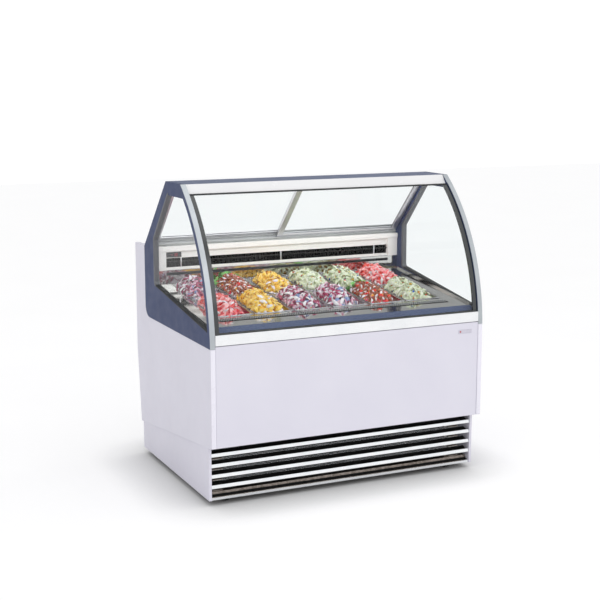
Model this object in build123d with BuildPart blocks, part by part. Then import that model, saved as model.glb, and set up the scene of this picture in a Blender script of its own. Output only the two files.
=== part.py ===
from build123d import *
import os
from math import atan, cos, degrees, hypot, radians, sin, sqrt

# Ice cream dipping cabinet: a curved-glass, refrigerated display for twelve ice cream pans,
# served from the rear through two sliding doors. Millimetres, +Z up, +X to the right of a
# customer who looks at the front, the front towards -Y. The origin is on the floor, at the
# centre of the cabinet's footprint.

# ---------------------------------------------------------------------------
# Driving dimensions
# ---------------------------------------------------------------------------
width = 1240.0  # over the side panels
depth = 920.0  # from the front panel to the back of the side panels
height = 1265.0  # floor to the top of the canopy
side_t = 21.0  # side panels and side frames
base_z = 25.0  # underside of the plinth and the base frame
waist_z = 652.0  # where the white panels meet the blue side frames
panel_front_z = 254.0  # lower edge of the panels at the front
panel_back_z = 149.0  # lower edge of the side panels at the back
rear_top_z = 962.0  # top of the side panels behind the frames
plinth_setback = 52.0  # plinth behind the front panel
plinth_t = 12.0
plinth_inset = 7.0
curve_r = 816.0  # outer radius of the curved front
curve_z = 626.0  # height of its centre
trim_t = 3.0  # aluminium strip on the curved edge of each side frame
frame_bar = 27.0  # width of the side frame's curved bar, with its trim
glass_t = 6.0
glass_inset = 8.0  # outer face of the front glass behind the trim
deck_front_z = 725.0  # front edge of the stainless deck
deck_front = 65.0  # that edge behind the front panel
deck_back = 706.0  # rear edge of the deck, at the air outlet
deck_slope = 0.112  # rise of the deck towards the back
sheet_t = 3.0
pan_columns = 6
pan_pitch_x = 176.0
pan_pitch_y = 259.5  # along the deck
pan_first = 251.5  # centre of the front row behind the deck's front edge, along the deck
pan_width = 172.0  # over the rim
pan_length = 256.0
pan_depth = 110.0
pan_hole = (154.0, 238.0)
pan_wall = 1.5
pan_taper = 5.0
frame_back = 790.0  # vertical back edge of the side frames
frame_back_z = 961.0  # where the frames start to lean forward
canopy_back = 491.0  # rear edge of the canopy
door_t = 12.0
door_overlap = 18.0  # each door past the middle
clearance = 0.3  # between faces of different bodies that meet
pin_fit = 0.05  # radial clearance of the pins and shafts in their bores

# ---------------------------------------------------------------------------
# Derived places
# ---------------------------------------------------------------------------
half = width / 2
inner = half - side_t  # inner faces of the side panels and frames
span = inner - 0.5  # half the width of what fits between them
front = -depth / 2
back = depth / 2
curve_y = front + curve_r
deck_angle = degrees(atan(deck_slope))
deck_cos = cos(radians(deck_angle))
deck_length = (deck_back - deck_front) / deck_cos
plinth_in = half - plinth_inset - plinth_t


def from_front(distance):
    """Y of a place that lies this far behind the front panel."""
    return front + distance


def curve_at(radius, z):
    """Y of the curved front at a height, on an arc of this radius about its centre."""
    return curve_y - sqrt(radius**2 - (z - curve_z) ** 2)


def deck_z(y):
    """Height of the deck's top face at a Y."""
    return deck_front_z + (y - from_front(deck_front)) * deck_slope


def deck_plane(u, v, lift=0.0):
    """A plane on the deck: u across, v up the slope from its front edge, lift above it."""
    y_dir = (0, deck_cos, deck_slope * deck_cos)
    z_dir = (0, -deck_slope * deck_cos, deck_cos)
    origin = (
        u,
        from_front(deck_front) + v * y_dir[1] + lift * z_dir[1],
        deck_front_z + v * y_dir[2] + lift * z_dir[2],
    )
    return Plane(origin=origin, x_dir=(1, 0, 0), z_dir=z_dir)


# The rear doors lie in a slanted plane that follows the back edge of the side frames.
slant_foot = (from_front(frame_back), frame_back_z)
slant_top = (from_front(canopy_back), height)
slant_length = hypot(slant_top[0] - slant_foot[0], slant_top[1] - slant_foot[1])
slant_up = (
    (slant_top[0] - slant_foot[0]) / slant_length,
    (slant_top[1] - slant_foot[1]) / slant_length,
)
slant_in = (-slant_up[1], slant_up[0])


def slant(s, d):
    """Y and Z of a point s up the slant and d inwards from its outer face."""
    return (
        slant_foot[0] + s * slant_up[0] + d * slant_in[0],
        slant_foot[1] + s * slant_up[1] + d * slant_in[1],
    )


def slant_plane(d):
    """The doors' plane, d inwards: local X across, local Y up the slant, normal inwards."""
    foot = slant(0, d)
    return Plane(
        origin=(0, foot[0], foot[1]), x_dir=(1, 0, 0), z_dir=(0, slant_in[0], slant_in[1])
    )


def save(builder, name):
    """Label a finished piece and write its STEP file."""
    builder.part.label = name
    export_step(builder.part, f"parts/{name}.step")


os.makedirs("parts", exist_ok=True)

# ---------------------------------------------------------------------------
# Base: welded frame, levelling feet, plinth and grille
# ---------------------------------------------------------------------------
tub_z = 300.0  # underside of the insulated tub
foot_x = 521.0
foot_front = 117.0
foot_back = 800.0
foot_places = [(x, from_front(y)) for x in (-foot_x, foot_x) for y in (foot_front, foot_back)]
stud_r = 5.0
pad_h = 12.0
tube_h = 22.0
tube_w = 40.0
tray_t = 3.0
base_half = plinth_in - 1.5
base_front = from_front(80.0)
base_rear = from_front(866.0)
upright_x = (519.5, 591.5)
upright_y = from_front(145.0)
upright_t = 4.0

with BuildPart() as base_frame:
    # Perimeter of rectangular tube, with a cross tube under the compressor.
    with BuildSketch(Plane.XY.offset(base_z + 2)):
        with Locations((0, (base_front + base_rear) / 2)):
            Rectangle(2 * base_half, base_rear - base_front)
            Rectangle(
                2 * (base_half - tube_w), base_rear - base_front - 2 * tube_w, mode=Mode.SUBTRACT
            )
        with Locations((-40, (base_front + base_rear) / 2), (foot_x - 60, (base_front + base_rear) / 2)):
            Rectangle(tube_w, base_rear - base_front)
    extrude(amount=tube_h)
    # The tubes are pressed channels, open below.
    with BuildSketch(Plane.XY.offset(base_z + 1)):
        with Locations((0, (base_front + base_rear) / 2)):
            Rectangle(2 * base_half - 5, base_rear - base_front - 5)
            Rectangle(
                2 * (base_half - tube_w) + 5, base_rear - base_front - 2 * tube_w + 5,
                mode=Mode.SUBTRACT,
            )
    extrude(amount=tube_h - 2, mode=Mode.SUBTRACT)
    # Floor tray that carries the compressor and the condenser.
    with BuildSketch(Plane.XY.offset(base_z + 2 + tube_h)):
        with Locations((0, (base_front + base_rear) / 2)):
            Rectangle(2 * base_half, base_rear - base_front)
    extrude(amount=tray_t)
    # Uprights that carry the tub; the front pair stands behind the grille slats.
    upright_h = tub_z - base_z - 2 - tube_h - tray_t
    with BuildSketch(Plane.XY.offset(base_z + 2 + tube_h + tray_t)):
        for side in (-1, 1):
            mid = side * (upright_x[0] + upright_x[1]) / 2
            with Locations((mid, upright_y)):
                Rectangle(upright_x[1] - upright_x[0], upright_t)
            with Locations((side * (upright_x[1] - upright_t / 2), upright_y + 20)):
                Rectangle(upright_t, 40)
            with Locations((side * (upright_x[1] - 20), base_rear - upright_t / 2)):
                Rectangle(40, upright_t)
            with Locations((side * (upright_x[1] - upright_t / 2), base_rear - 20)):
                Rectangle(upright_t, 40)
    extrude(amount=upright_h)
    # Holes for the studs of the levelling feet.
    with BuildSketch(Plane.XY.offset(base_z)):
        with Locations(*foot_places):
            Circle(stud_r + pin_fit)
    extrude(amount=60, mode=Mode.SUBTRACT)
save(base_frame, "base_frame")

with BuildPart() as levelling_feet:
    # Four rubber pads, each with a lock nut and a threaded stud.
    for place in foot_places:
        with BuildSketch(Plane(origin=(place[0], place[1], 0), x_dir=(1, 0, 0), z_dir=(0, -1, 0))):
            with BuildLine():
                Polyline(
                    (0, 0), (14, 0), (16, 3), (16, 9), (13, pad_h), (8, pad_h), (8, 19),
                    (stud_r, 19), (stud_r, 56), (0, 56), (0, 0),
                )
            make_face()
        revolve(axis=Axis((place[0], place[1], 0), (0, 0, 1)))
save(levelling_feet, "levelling_feet")


def lower_edge(y):
    """Height of the side panels' sloping lower edge."""
    rear_corner = from_front(881.0)
    return panel_front_z + (panel_back_z - panel_front_z) * (y - front) / (rear_corner - front)


with BuildPart() as plinth_panels:
    # One board each side, cut to the slope of the side panel above it.
    for side in (-1, 1):
        x_start = min(side * plinth_in, side * (plinth_in + plinth_t))
        with BuildSketch(Plane.YZ.offset(x_start)):
            with BuildLine():
                y_a = from_front(plinth_setback)
                y_b = from_front(877.0)
                Polyline(
                    (y_a, base_z), (y_b, base_z), (y_b, lower_edge(y_b) - 0.2),
                    (y_a, lower_edge(y_a) - 0.2), (y_a, base_z),
                )
            make_face()
        extrude(amount=plinth_t)
save(plinth_panels, "plinth_panels")

slat_pitch = 43.5
slat_low = 81.0
slat_nose = 13.5
slat_front = from_front(plinth_setback + 2)

with BuildPart() as grille_slats:
    # Four louvre slats and a bottom rail. A slat is a bright nose with a blade that runs
    # back and up to a small lip.
    for step in range(4):
        z = slat_low + step * slat_pitch
        with BuildSketch(Plane.YZ.offset(-plinth_in + 0.5)):
            with BuildLine():
                Polyline(
                    (slat_front, z - slat_nose / 2 - 1),
                    (slat_front + 3, z + slat_nose / 2 - 1),
                    (slat_front + 7, z + slat_nose / 2),
                    (slat_front + 9, z - slat_nose / 2 + 2),
                    (slat_front + 46, z + 9),
                    (slat_front + 46, z + 16),
                    (slat_front + 48, z + 16),
                    (slat_front + 48, z + 7),
                    (slat_front + 6, z - slat_nose / 2 - 1.5),
                    (slat_front, z - slat_nose / 2 - 1),
                )
            make_face()
        extrude(amount=2 * plinth_in - 1)
    with BuildSketch(Plane.YZ.offset(-plinth_in + 0.5)):
        with BuildLine():
            Polyline(
                (slat_front + 2, base_z), (slat_front + 2, base_z + 10),
                (slat_front + 24, base_z + 12), (slat_front + 24, base_z + 17),
                (slat_front + 25.5, base_z + 17), (slat_front + 25.5, base_z + 10.5),
                (slat_front + 4, base_z + 8.5), (slat_front + 4, base_z),
                (slat_front + 2, base_z),
            )
        make_face()
    extrude(amount=2 * plinth_in - 1)
save(grille_slats, "grille_slats")

# ---------------------------------------------------------------------------
# White panels
# ---------------------------------------------------------------------------
frame_corner_r = 50.0


def side_panel_part(x_start):
    """A white side panel: it carries the blue frame on its stepped upper edge."""
    with BuildPart() as panel:
        with BuildSketch(Plane.YZ.offset(x_start)):
            with BuildLine():
                y_rear = from_front(frame_back)
                r = frame_corner_r
                Polyline(
                    (y_rear, waist_z + r), (y_rear, rear_top_z), (back, rear_top_z),
                    (back, 480.0), (from_front(881.0), panel_back_z), (front, panel_front_z),
                    (front, waist_z), (y_rear - r, waist_z),
                )
                RadiusArc((y_rear - r, waist_z), (y_rear, waist_z + r), -r)
            make_face()
        extrude(amount=side_t)
    return panel


left_side_panel = side_panel_part(-half)
save(left_side_panel, "left_side_panel")
right_side_panel = side_panel_part(inner)
save(right_side_panel, "right_side_panel")

band_low = 664.0
band_top = 706.0
panel_gap = 3.0
face_setback = 1.5

with BuildPart() as front_panel:
    # Folded sheet with returns all round, open at the back.
    panel_h = band_low - panel_gap - panel_front_z
    with BuildSketch(Plane.XZ.offset(-(front + face_setback))):
        with Locations((0, panel_front_z + panel_h / 2)):
            Rectangle(2 * span, panel_h)
    extrude(amount=-20)
    with BuildSketch(Plane.XZ.offset(-(front + face_setback + 2))):
        with Locations((0, panel_front_z + panel_h / 2)):
            Rectangle(2 * span - 4, panel_h - 4)
    extrude(amount=-20, mode=Mode.SUBTRACT)
    vertical = front_panel.edges().filter_by(Axis.Z).group_by(Axis.Y)[0]
    fillet(vertical, radius=1.2)
save(front_panel, "front_panel")

with BuildPart() as front_band:
    # Extruded aluminium bumper: a C section with a shallow groove along its face.
    with BuildSketch(Plane.YZ.offset(-span)):
        with BuildLine():
            y_face = front + 0.4
            Polyline(
                (y_face, band_low), (y_face, band_top), (y_face + 5, band_top),
                (y_face + 5, band_top - 2), (y_face + 2.5, band_top - 2),
                (y_face + 2.5, band_low + 2.5), (y_face + 18, band_low + 2.5),
                (y_face + 18, band_low), (y_face, band_low),
            )
        make_face()
    extrude(amount=2 * span)
save(front_band, "front_band")

# ---------------------------------------------------------------------------
# Insulated tub, deck and air outlet
# ---------------------------------------------------------------------------
ledge_front = 26.0
ledge_low_z = 699.0
tub_front = from_front(22.0)
tub_back = from_front(frame_back)
cavity_half = 545.0
cavity_front = from_front(76.0)
cavity_back = from_front(758.0)
cavity_floor = 360.0

with BuildPart() as insulated_tub:
    # Foam-filled walls with a stainless liner; the rim follows the deck.
    with BuildSketch(Plane.YZ.offset(-span)):
        with BuildLine():
            Polyline(
                (tub_front, tub_z), (tub_front, ledge_low_z - 12),
                (from_front(deck_front), deck_front_z - 12),
                (from_front(deck_front) + 2, deck_z(from_front(deck_front) + 2) - sheet_t - 0.5),
                (tub_back, deck_z(tub_back) - sheet_t - 0.5), (tub_back, tub_z),
                (tub_front, tub_z),
            )
        make_face()
    extrude(amount=2 * span)
    with BuildSketch(Plane.XY.offset(cavity_floor)):
        with Locations((0, (cavity_front + cavity_back) / 2)):
            RectangleRounded(2 * cavity_half, cavity_back - cavity_front, 20)
    extrude(amount=500, mode=Mode.SUBTRACT)
    # Passage for the refrigerant lines through the floor.
    with BuildSketch(Plane.XY.offset(tub_z - 1)):
        with Locations((330, from_front(640))):
            SlotOverall(90, 30)
    extrude(amount=70, mode=Mode.SUBTRACT)
save(insulated_tub, "insulated_tub")

with BuildPart() as front_ledge:
    # Painted sill behind the front glass: it slopes up to the deck's front edge.
    with BuildSketch(Plane.YZ.offset(-span)):
        with BuildLine():
            y_a = from_front(ledge_front)
            y_b = from_front(deck_front) - 0.5
            Polyline(
                (y_a, ledge_low_z - 7), (y_a, ledge_low_z), (y_b, deck_front_z),
                (y_b, deck_front_z - 3.4), (y_a + 2, ledge_low_z - 2.2),
                (y_a + 2, ledge_low_z - 7), (y_a, ledge_low_z - 7),
            )
        make_face()
    extrude(amount=2 * span)
save(front_ledge, "front_ledge")

grille_v = 81.0  # centre of the air return behind the deck's front edge
grille_w = 32.0
grille_half = 528.0
side_lip = (2.0, 8.0)  # thickness and height of the deck's turned-up side edges
splash_top = 857.0
splash_slot = (836.0, 848.0)
recess_half = 549.0

with BuildPart() as deck_frame:
    # Stainless deck with a well for each pan, turned-up side edges, and an upstand at the rear.
    with BuildSketch(deck_plane(0, 0)):
        with Locations((0, deck_length / 2)):
            Rectangle(2 * span, deck_length)
        with Locations((0, pan_first), (0, pan_first + pan_pitch_y)):
            with GridLocations(pan_pitch_x, 1, pan_columns, 1):
                RectangleRounded(pan_hole[0], pan_hole[1], 14, mode=Mode.SUBTRACT)
        with Locations((0, grille_v)):
            Rectangle(2 * grille_half, grille_w, mode=Mode.SUBTRACT)
    extrude(amount=-sheet_t)
    with BuildSketch(deck_plane(0, 0)):
        with Locations((0, deck_length / 2)):
            with GridLocations(2 * span - side_lip[0], 1, 2, 1):
                Rectangle(side_lip[0], deck_length - 8)
    extrude(amount=side_lip[1])
    y_splash = from_front(deck_back)
    with BuildSketch(Plane.XZ.offset(-y_splash)):
        splash_low = deck_z(y_splash) - sheet_t
        with Locations((0, (splash_low + splash_top) / 2)):
            Rectangle(2 * span, splash_top - splash_low)
        with Locations((0, (splash_slot[0] + splash_slot[1]) / 2)):
            Rectangle(2 * recess_half, splash_slot[1] - splash_slot[0], mode=Mode.SUBTRACT)
    extrude(amount=-2)
save(deck_frame, "deck_frame")

with BuildPart() as return_air_grille:
    # Black grille in the deck, in front of the pans, where the cold air returns.
    with BuildSketch(deck_plane(0, grille_v, 0.5)):
        Rectangle(2 * grille_half - 0.6, grille_w - 0.6)
        with GridLocations(16, 9, 64, 3):
            SlotOverall(13, 5.5, mode=Mode.SUBTRACT)
    extrude(amount=-2.5)
save(return_air_grille, "return_air_grille")

box_face = from_front(deck_back)
recess_d = 8.0
recess_low = splash_top + 0.2
recess_top = 938.0
lip_low = 941.0
box_top = 963.0
slot_rows = ((870.0, 892.0), (896.0, 910.0))
divider_x = (-478.0, 0.0, 478.0)
divider_w = 4.0

with BuildPart() as air_outlet_box:
    # White box behind the pans: end blocks, a recessed louvred face and a shelf on top.
    with BuildSketch(Plane.YZ.offset(-span)):
        with BuildLine():
            Polyline(
                (box_face, recess_low), (box_face, lip_low), (box_face - 4, lip_low),
                (box_face - 4, box_top), (tub_back, box_top), (tub_back, recess_low),
                (box_face, recess_low),
            )
        make_face()
    extrude(amount=2 * span)
    # Hollow inside, open below to the duct.
    with BuildSketch(Plane.YZ.offset(-span + 3)):
        with BuildLine():
            Polyline(
                (box_face + recess_d + 3, recess_low - 1), (box_face + recess_d + 3, box_top - 3),
                (tub_back - 3, box_top - 3), (tub_back - 3, recess_low - 1),
                (box_face + recess_d + 3, recess_low - 1),
            )
        make_face()
    extrude(amount=2 * span - 6, mode=Mode.SUBTRACT)
    # Recess of the face between the end blocks.
    with BuildSketch(Plane.XZ.offset(-(box_face - 1))):
        with Locations((0, (recess_low - 1 + recess_top) / 2)):
            Rectangle(2 * recess_half, recess_top - recess_low + 1)
    extrude(amount=-recess_d - 1, mode=Mode.SUBTRACT)
    # Two rows of outlet slots, parted by narrow uprights.
    with BuildSketch(Plane.XZ.offset(-(box_face + recess_d - 1))):
        edges_x = [-recess_half + 1, *divider_x, recess_half - 1]
        for low, high in slot_rows:
            for x_a, x_b in zip(edges_x[:-1], edges_x[1:]):
                with Locations(((x_a + x_b) / 2, (low + high) / 2)):
                    Rectangle(x_b - x_a - divider_w, high - low)
    extrude(amount=-5, mode=Mode.SUBTRACT)
save(air_outlet_box, "air_outlet_box")

display_x = (-546.0, -478.0)
display_z = (914.0, 936.0)

with BuildPart() as temperature_display:
    # Controller with a slanted bezel around its window.
    y_back = box_face + recess_d - 0.2
    with BuildSketch(Plane.XZ.offset(-y_back)):
        with Locations(((display_x[0] + display_x[1]) / 2, (display_z[0] + display_z[1]) / 2)):
            Rectangle(display_x[1] - display_x[0], display_z[1] - display_z[0])
    extrude(amount=6)
    chamfer(temperature_display.faces().sort_by(Axis.Y)[0].edges(), length=1.5)
    with BuildSketch(Plane.XZ.offset(-(y_back - 6))):
        with Locations(((display_x[0] + display_x[1]) / 2, (display_z[0] + display_z[1]) / 2)):
            Rectangle(50, 12)
    extrude(amount=-1, mode=Mode.SUBTRACT)
save(temperature_display, "temperature_display")

# ---------------------------------------------------------------------------
# Blue side frames with their trims and glasses
# ---------------------------------------------------------------------------
hinge_y = from_front(16.5)
hinge_z = 704.5
hinge_pin_r = 4.0
hinge_pin_l = 8.0
opening_top_z = 1210.0
opening_r = curve_r - frame_bar
opening_low = ((curve_at(opening_r, 721.0), 721.0), (from_front(656.0), 812.0))
opening_kink = (from_front(657.0), 1006.0)
opening_top = ((curve_at(opening_r, opening_top_z), opening_top_z), (from_front(467.0), opening_top_z))


def arc_between(radius, z_low, z_high):
    """An arc of the curved front from one height to another, inside a BuildLine."""
    z_mid = (z_low + z_high) / 2
    return ThreePointArc(
        (curve_at(radius, z_low), z_low),
        (curve_at(radius, z_mid), z_mid),
        (curve_at(radius, z_high), z_high),
    )


def opening_outline():
    """The outline of the side frame's window, inside a BuildLine."""
    arc_between(opening_r, opening_low[0][1], opening_top_z)
    Polyline(opening_low[0], opening_low[1], opening_kink, opening_top[1], opening_top[0])


def is_rear_corner(vertex):
    """Whether a vertex of the window's outline is one of its three rear corners."""
    return vertex.X > from_front(400.0)


def side_frame_part(x_start, hole_x):
    """A side frame: a flat ring round the side glass, with the front glass's pivot hole."""
    with BuildPart() as frame:
        with BuildSketch(Plane.YZ.offset(x_start)):
            with BuildLine():
                r = curve_r - trim_t
                y_rear = from_front(frame_back)
                c = frame_corner_r
                arc_between(r, waist_z + 0.2, height)
                Polyline(
                    (curve_at(r, height), height), slant_top, slant_foot,
                    (y_rear, waist_z + c + 0.2),
                )
                RadiusArc((y_rear, waist_z + c + 0.2), (y_rear - c, waist_z + 0.2), c)
                Line((y_rear - c, waist_z + 0.2), (curve_at(r, waist_z + 0.2), waist_z + 0.2))
            make_face()
        extrude(amount=side_t)
        with BuildSketch(Plane.YZ.offset(x_start)) as window:
            with BuildLine():
                opening_outline()
            make_face()
            fillet(window.vertices().filter_by(is_rear_corner), radius=16)
        extrude(amount=side_t, mode=Mode.SUBTRACT)
        with BuildSketch(Plane.YZ.offset(hole_x)):
            with Locations((hinge_y, hinge_z)):
                Circle(hinge_pin_r + pin_fit)
        extrude(amount=hinge_pin_l + 2, mode=Mode.SUBTRACT)
    return frame


left_side_frame = side_frame_part(-half, -inner - hinge_pin_l - 2)
save(left_side_frame, "left_side_frame")
right_side_frame = side_frame_part(inner, inner)
save(right_side_frame, "right_side_frame")

with BuildPart() as edge_trims:
    # Polished aluminium strip along the curved edge of each frame.
    for x_start in (-half, inner):
        with BuildSketch(Plane.YZ.offset(x_start)):
            with BuildLine():
                low = waist_z + 0.2
                arc_between(curve_r, low, height)
                Line((curve_at(curve_r, height), height), (curve_at(curve_r - trim_t, height), height))
                arc_between(curve_r - trim_t, low, height)
                Line((curve_at(curve_r, low), low), (curve_at(curve_r - trim_t, low), low))
            make_face()
        extrude(amount=side_t)
save(edge_trims, "edge_trims")

with BuildPart() as side_glasses:
    # One pane in each frame's window.
    for x_start in (-half + 8, inner + side_t - 8 - glass_t):
        with BuildSketch(Plane.YZ.offset(x_start)) as pane:
            with BuildLine():
                opening_outline()
            make_face()
            fillet(pane.vertices().filter_by(is_rear_corner), radius=16)
            offset(amount=-0.4, mode=Mode.REPLACE)
        extrude(amount=glass_t)
save(side_glasses, "side_glasses")

# ---------------------------------------------------------------------------
# Canopy
# ---------------------------------------------------------------------------
canopy_low = 1228.0
fascia_top = (from_front(312.0), height - 0.3)
fascia_low = (from_front(286.0), canopy_low)
fascia_t = 4.0
rail_d = (4.0, 44.0)
canopy_rear_low = slant(slant_length, rail_d[1] + 2)

with BuildPart() as canopy_cover:
    # Hollow blue section across the top; its rear face carries the upper door track.
    with BuildSketch(Plane.YZ.offset(-span)):
        with BuildLine():
            Polyline(
                (fascia_top[0] + fascia_t + 0.4, height), slant_top, canopy_rear_low,
                (canopy_rear_low[0] - 4, canopy_low + 2),
                (fascia_low[0] + fascia_t + 4, canopy_low + 2),
                (fascia_top[0] + fascia_t + 0.4, height - 5), (fascia_top[0] + fascia_t + 0.4, height),
            )
        make_face()
        offset(amount=-2.5, kind=Kind.INTERSECTION, mode=Mode.SUBTRACT)
    extrude(amount=2 * span)
save(canopy_cover, "canopy_cover")

with BuildPart() as canopy_fascia:
    # Glossy white strip along the canopy's front.
    with BuildSketch(Plane.YZ.offset(-span)):
        with BuildLine():
            Polyline(
                fascia_top, fascia_low, (fascia_low[0] + fascia_t, fascia_low[1] - 1),
                (fascia_top[0] + fascia_t, fascia_top[1]), fascia_top,
            )
        make_face()
    extrude(amount=2 * span)
save(canopy_fascia, "canopy_fascia")

# ---------------------------------------------------------------------------
# Rear sliding doors and their tracks
# ---------------------------------------------------------------------------
lower_rail_s = 60.0
upper_rail_s = slant_length - 18
groove_depth = 8.0
track_d = (9.0, 27.0)  # outer face of the door in the outer and in the inner track
groove_gap = 0.8
door_low_s = lower_rail_s - groove_depth + 0.5
door_high_s = upper_rail_s + groove_depth - 1.0
stile_w = 26.0
rail_w = 22.0
pane_rebate = 6.0
door_glass_t = 4.0

with BuildPart() as door_tracks:
    # Lower track on the shelf, cut level below; upper track under the canopy.
    with BuildSketch(Plane.YZ.offset(-span)):
        foot_out = (slant(7.7, rail_d[0])[0], box_top + 0.2)
        foot_in = (slant(47.0, rail_d[1])[0], box_top + 0.2)
        with BuildLine():
            Polyline(
                foot_out, foot_in, slant(lower_rail_s, rail_d[1]), slant(lower_rail_s, rail_d[0]),
                foot_out,
            )
        make_face()
        for d in track_d:
            with BuildLine():
                Polyline(
                    slant(lower_rail_s + 1, d - groove_gap),
                    slant(lower_rail_s + 1, d + door_t + groove_gap),
                    slant(lower_rail_s - groove_depth, d + door_t + groove_gap),
                    slant(lower_rail_s - groove_depth, d - groove_gap),
                    slant(lower_rail_s + 1, d - groove_gap),
                )
            make_face(mode=Mode.SUBTRACT)
    extrude(amount=2 * span)
    with BuildSketch(Plane.YZ.offset(-span)):
        with BuildLine():
            Polyline(
                slant(upper_rail_s, rail_d[0]), slant(upper_rail_s, rail_d[1]),
                slant(slant_length - 0.3, rail_d[1]), slant(slant_length - 0.3, rail_d[0]),
                slant(upper_rail_s, rail_d[0]),
            )
        make_face()
        for d in track_d:
            with BuildLine():
                Polyline(
                    slant(upper_rail_s - 1, d - groove_gap),
                    slant(upper_rail_s - 1, d + door_t + groove_gap),
                    slant(upper_rail_s + groove_depth, d + door_t + groove_gap),
                    slant(upper_rail_s + groove_depth, d - groove_gap),
                    slant(upper_rail_s - 1, d - groove_gap),
                )
            make_face(mode=Mode.SUBTRACT)
    extrude(amount=2 * span)
save(door_tracks, "door_tracks")

door_end = inner - 3.0
door_w = door_end + door_overlap
door_h = door_high_s - door_low_s
door_mid_s = (door_high_s + door_low_s) / 2


def door_parts(side, d):
    """Frame and pane of one sliding door: side -1 is the left one, d its track."""
    mid_x = side * (door_end - door_w / 2)
    with BuildPart() as frame:
        with BuildSketch(slant_plane(d)):
            with Locations((mid_x, door_mid_s)):
                Rectangle(door_w, door_h)
                Rectangle(door_w - 2 * stile_w, door_h - 2 * rail_w, mode=Mode.SUBTRACT)
        extrude(amount=door_t)
        # Groove that holds the pane.
        with BuildSketch(slant_plane(d + (door_t - door_glass_t) / 2 - 0.1)):
            with Locations((mid_x, door_mid_s)):
                Rectangle(
                    door_w - 2 * (stile_w - pane_rebate) + 0.4,
                    door_h - 2 * (rail_w - pane_rebate) + 0.4,
                )
        extrude(amount=door_glass_t + 0.2, mode=Mode.SUBTRACT)
        # Finger pull sunk in the outer stile.
        with BuildSketch(slant_plane(d)):
            with Locations((side * (door_end - stile_w / 2), door_mid_s)):
                SlotOverall(110, 14, rotation=90)
        extrude(amount=3, mode=Mode.SUBTRACT)
    with BuildPart() as pane:
        with BuildSketch(slant_plane(d + (door_t - door_glass_t) / 2)):
            with Locations((mid_x, door_mid_s)):
                Rectangle(
                    door_w - 2 * (stile_w - pane_rebate), door_h - 2 * (rail_w - pane_rebate)
                )
        extrude(amount=door_glass_t)
    return frame, pane


left_door_frame, left_door_glass = door_parts(-1, track_d[0])
save(left_door_frame, "left_door_frame")
save(left_door_glass, "left_door_glass")
right_door_frame, right_door_glass = door_parts(1, track_d[1])
save(right_door_frame, "right_door_frame")
save(right_door_glass, "right_door_glass")

# ---------------------------------------------------------------------------
# Tilting front glass on its pivot rail
# ---------------------------------------------------------------------------
glass_half = inner - 2.0
glass_low = 703.0
glass_high = 1222.0
glass_out_r = curve_r - glass_inset
glass_in_r = glass_out_r - glass_t

with BuildPart() as front_glass:
    with BuildSketch(Plane.YZ.offset(-glass_half)):
        with BuildLine():
            arc_between(glass_out_r, glass_low, glass_high)
            Line(
                (curve_at(glass_out_r, glass_high), glass_high),
                (curve_at(glass_in_r, glass_high), glass_high),
            )
            arc_between(glass_in_r, glass_low, glass_high)
            Line(
                (curve_at(glass_in_r, glass_low), glass_low),
                (curve_at(glass_out_r, glass_low), glass_low),
            )
        make_face()
    extrude(amount=2 * glass_half)
save(front_glass, "front_glass")

with BuildPart() as front_glass_rail:
    # Clamp rail along the foot of the glass, with a pivot pin at each end.
    with BuildSketch(Plane.YZ.offset(-glass_half)):
        with Locations((hinge_y, hinge_z)):
            RectangleRounded(14, 13, 3)
        with BuildLine():
            arc_between(glass_out_r + 0.1, glass_low - 0.1, glass_low + 12)
            Line(
                (curve_at(glass_out_r + 0.1, glass_low + 12), glass_low + 12),
                (curve_at(glass_in_r - 0.1, glass_low + 12), glass_low + 12),
            )
            arc_between(glass_in_r - 0.1, glass_low - 0.1, glass_low + 12)
            Line(
                (curve_at(glass_in_r - 0.1, glass_low - 0.1), glass_low - 0.1),
                (curve_at(glass_out_r + 0.1, glass_low - 0.1), glass_low - 0.1),
            )
        make_face(mode=Mode.SUBTRACT)
    extrude(amount=2 * glass_half)
    for x_start in (-inner - hinge_pin_l, glass_half - 12):
        with BuildSketch(Plane.YZ.offset(x_start)):
            with Locations((hinge_y, hinge_z)):
                Circle(hinge_pin_r)
            with BuildLine():
                arc_between(glass_out_r + 0.1, glass_low - 0.1, glass_low + 12)
                Line(
                    (curve_at(glass_out_r + 0.1, glass_low + 12), glass_low + 12),
                    (curve_at(glass_in_r - 0.1, glass_low + 12), glass_low + 12),
                )
                arc_between(glass_in_r - 0.1, glass_low - 0.1, glass_low + 12)
                Line(
                    (curve_at(glass_in_r - 0.1, glass_low - 0.1), glass_low - 0.1),
                    (curve_at(glass_out_r + 0.1, glass_low - 0.1), glass_low - 0.1),
                )
            make_face(mode=Mode.SUBTRACT)
        extrude(amount=inner + hinge_pin_l - glass_half + 12)
save(front_glass_rail, "front_glass_rail")

# ---------------------------------------------------------------------------
# Refrigeration: compressor, coils, fans, pipes and controls
# ---------------------------------------------------------------------------
tray_top = base_z + 2 + tube_h + tray_t
compressor_x = 300.0
compressor_y = from_front(430.0)
shell_r = 74.0
shell_h = 168.0
shell_lift = 12.0

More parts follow.
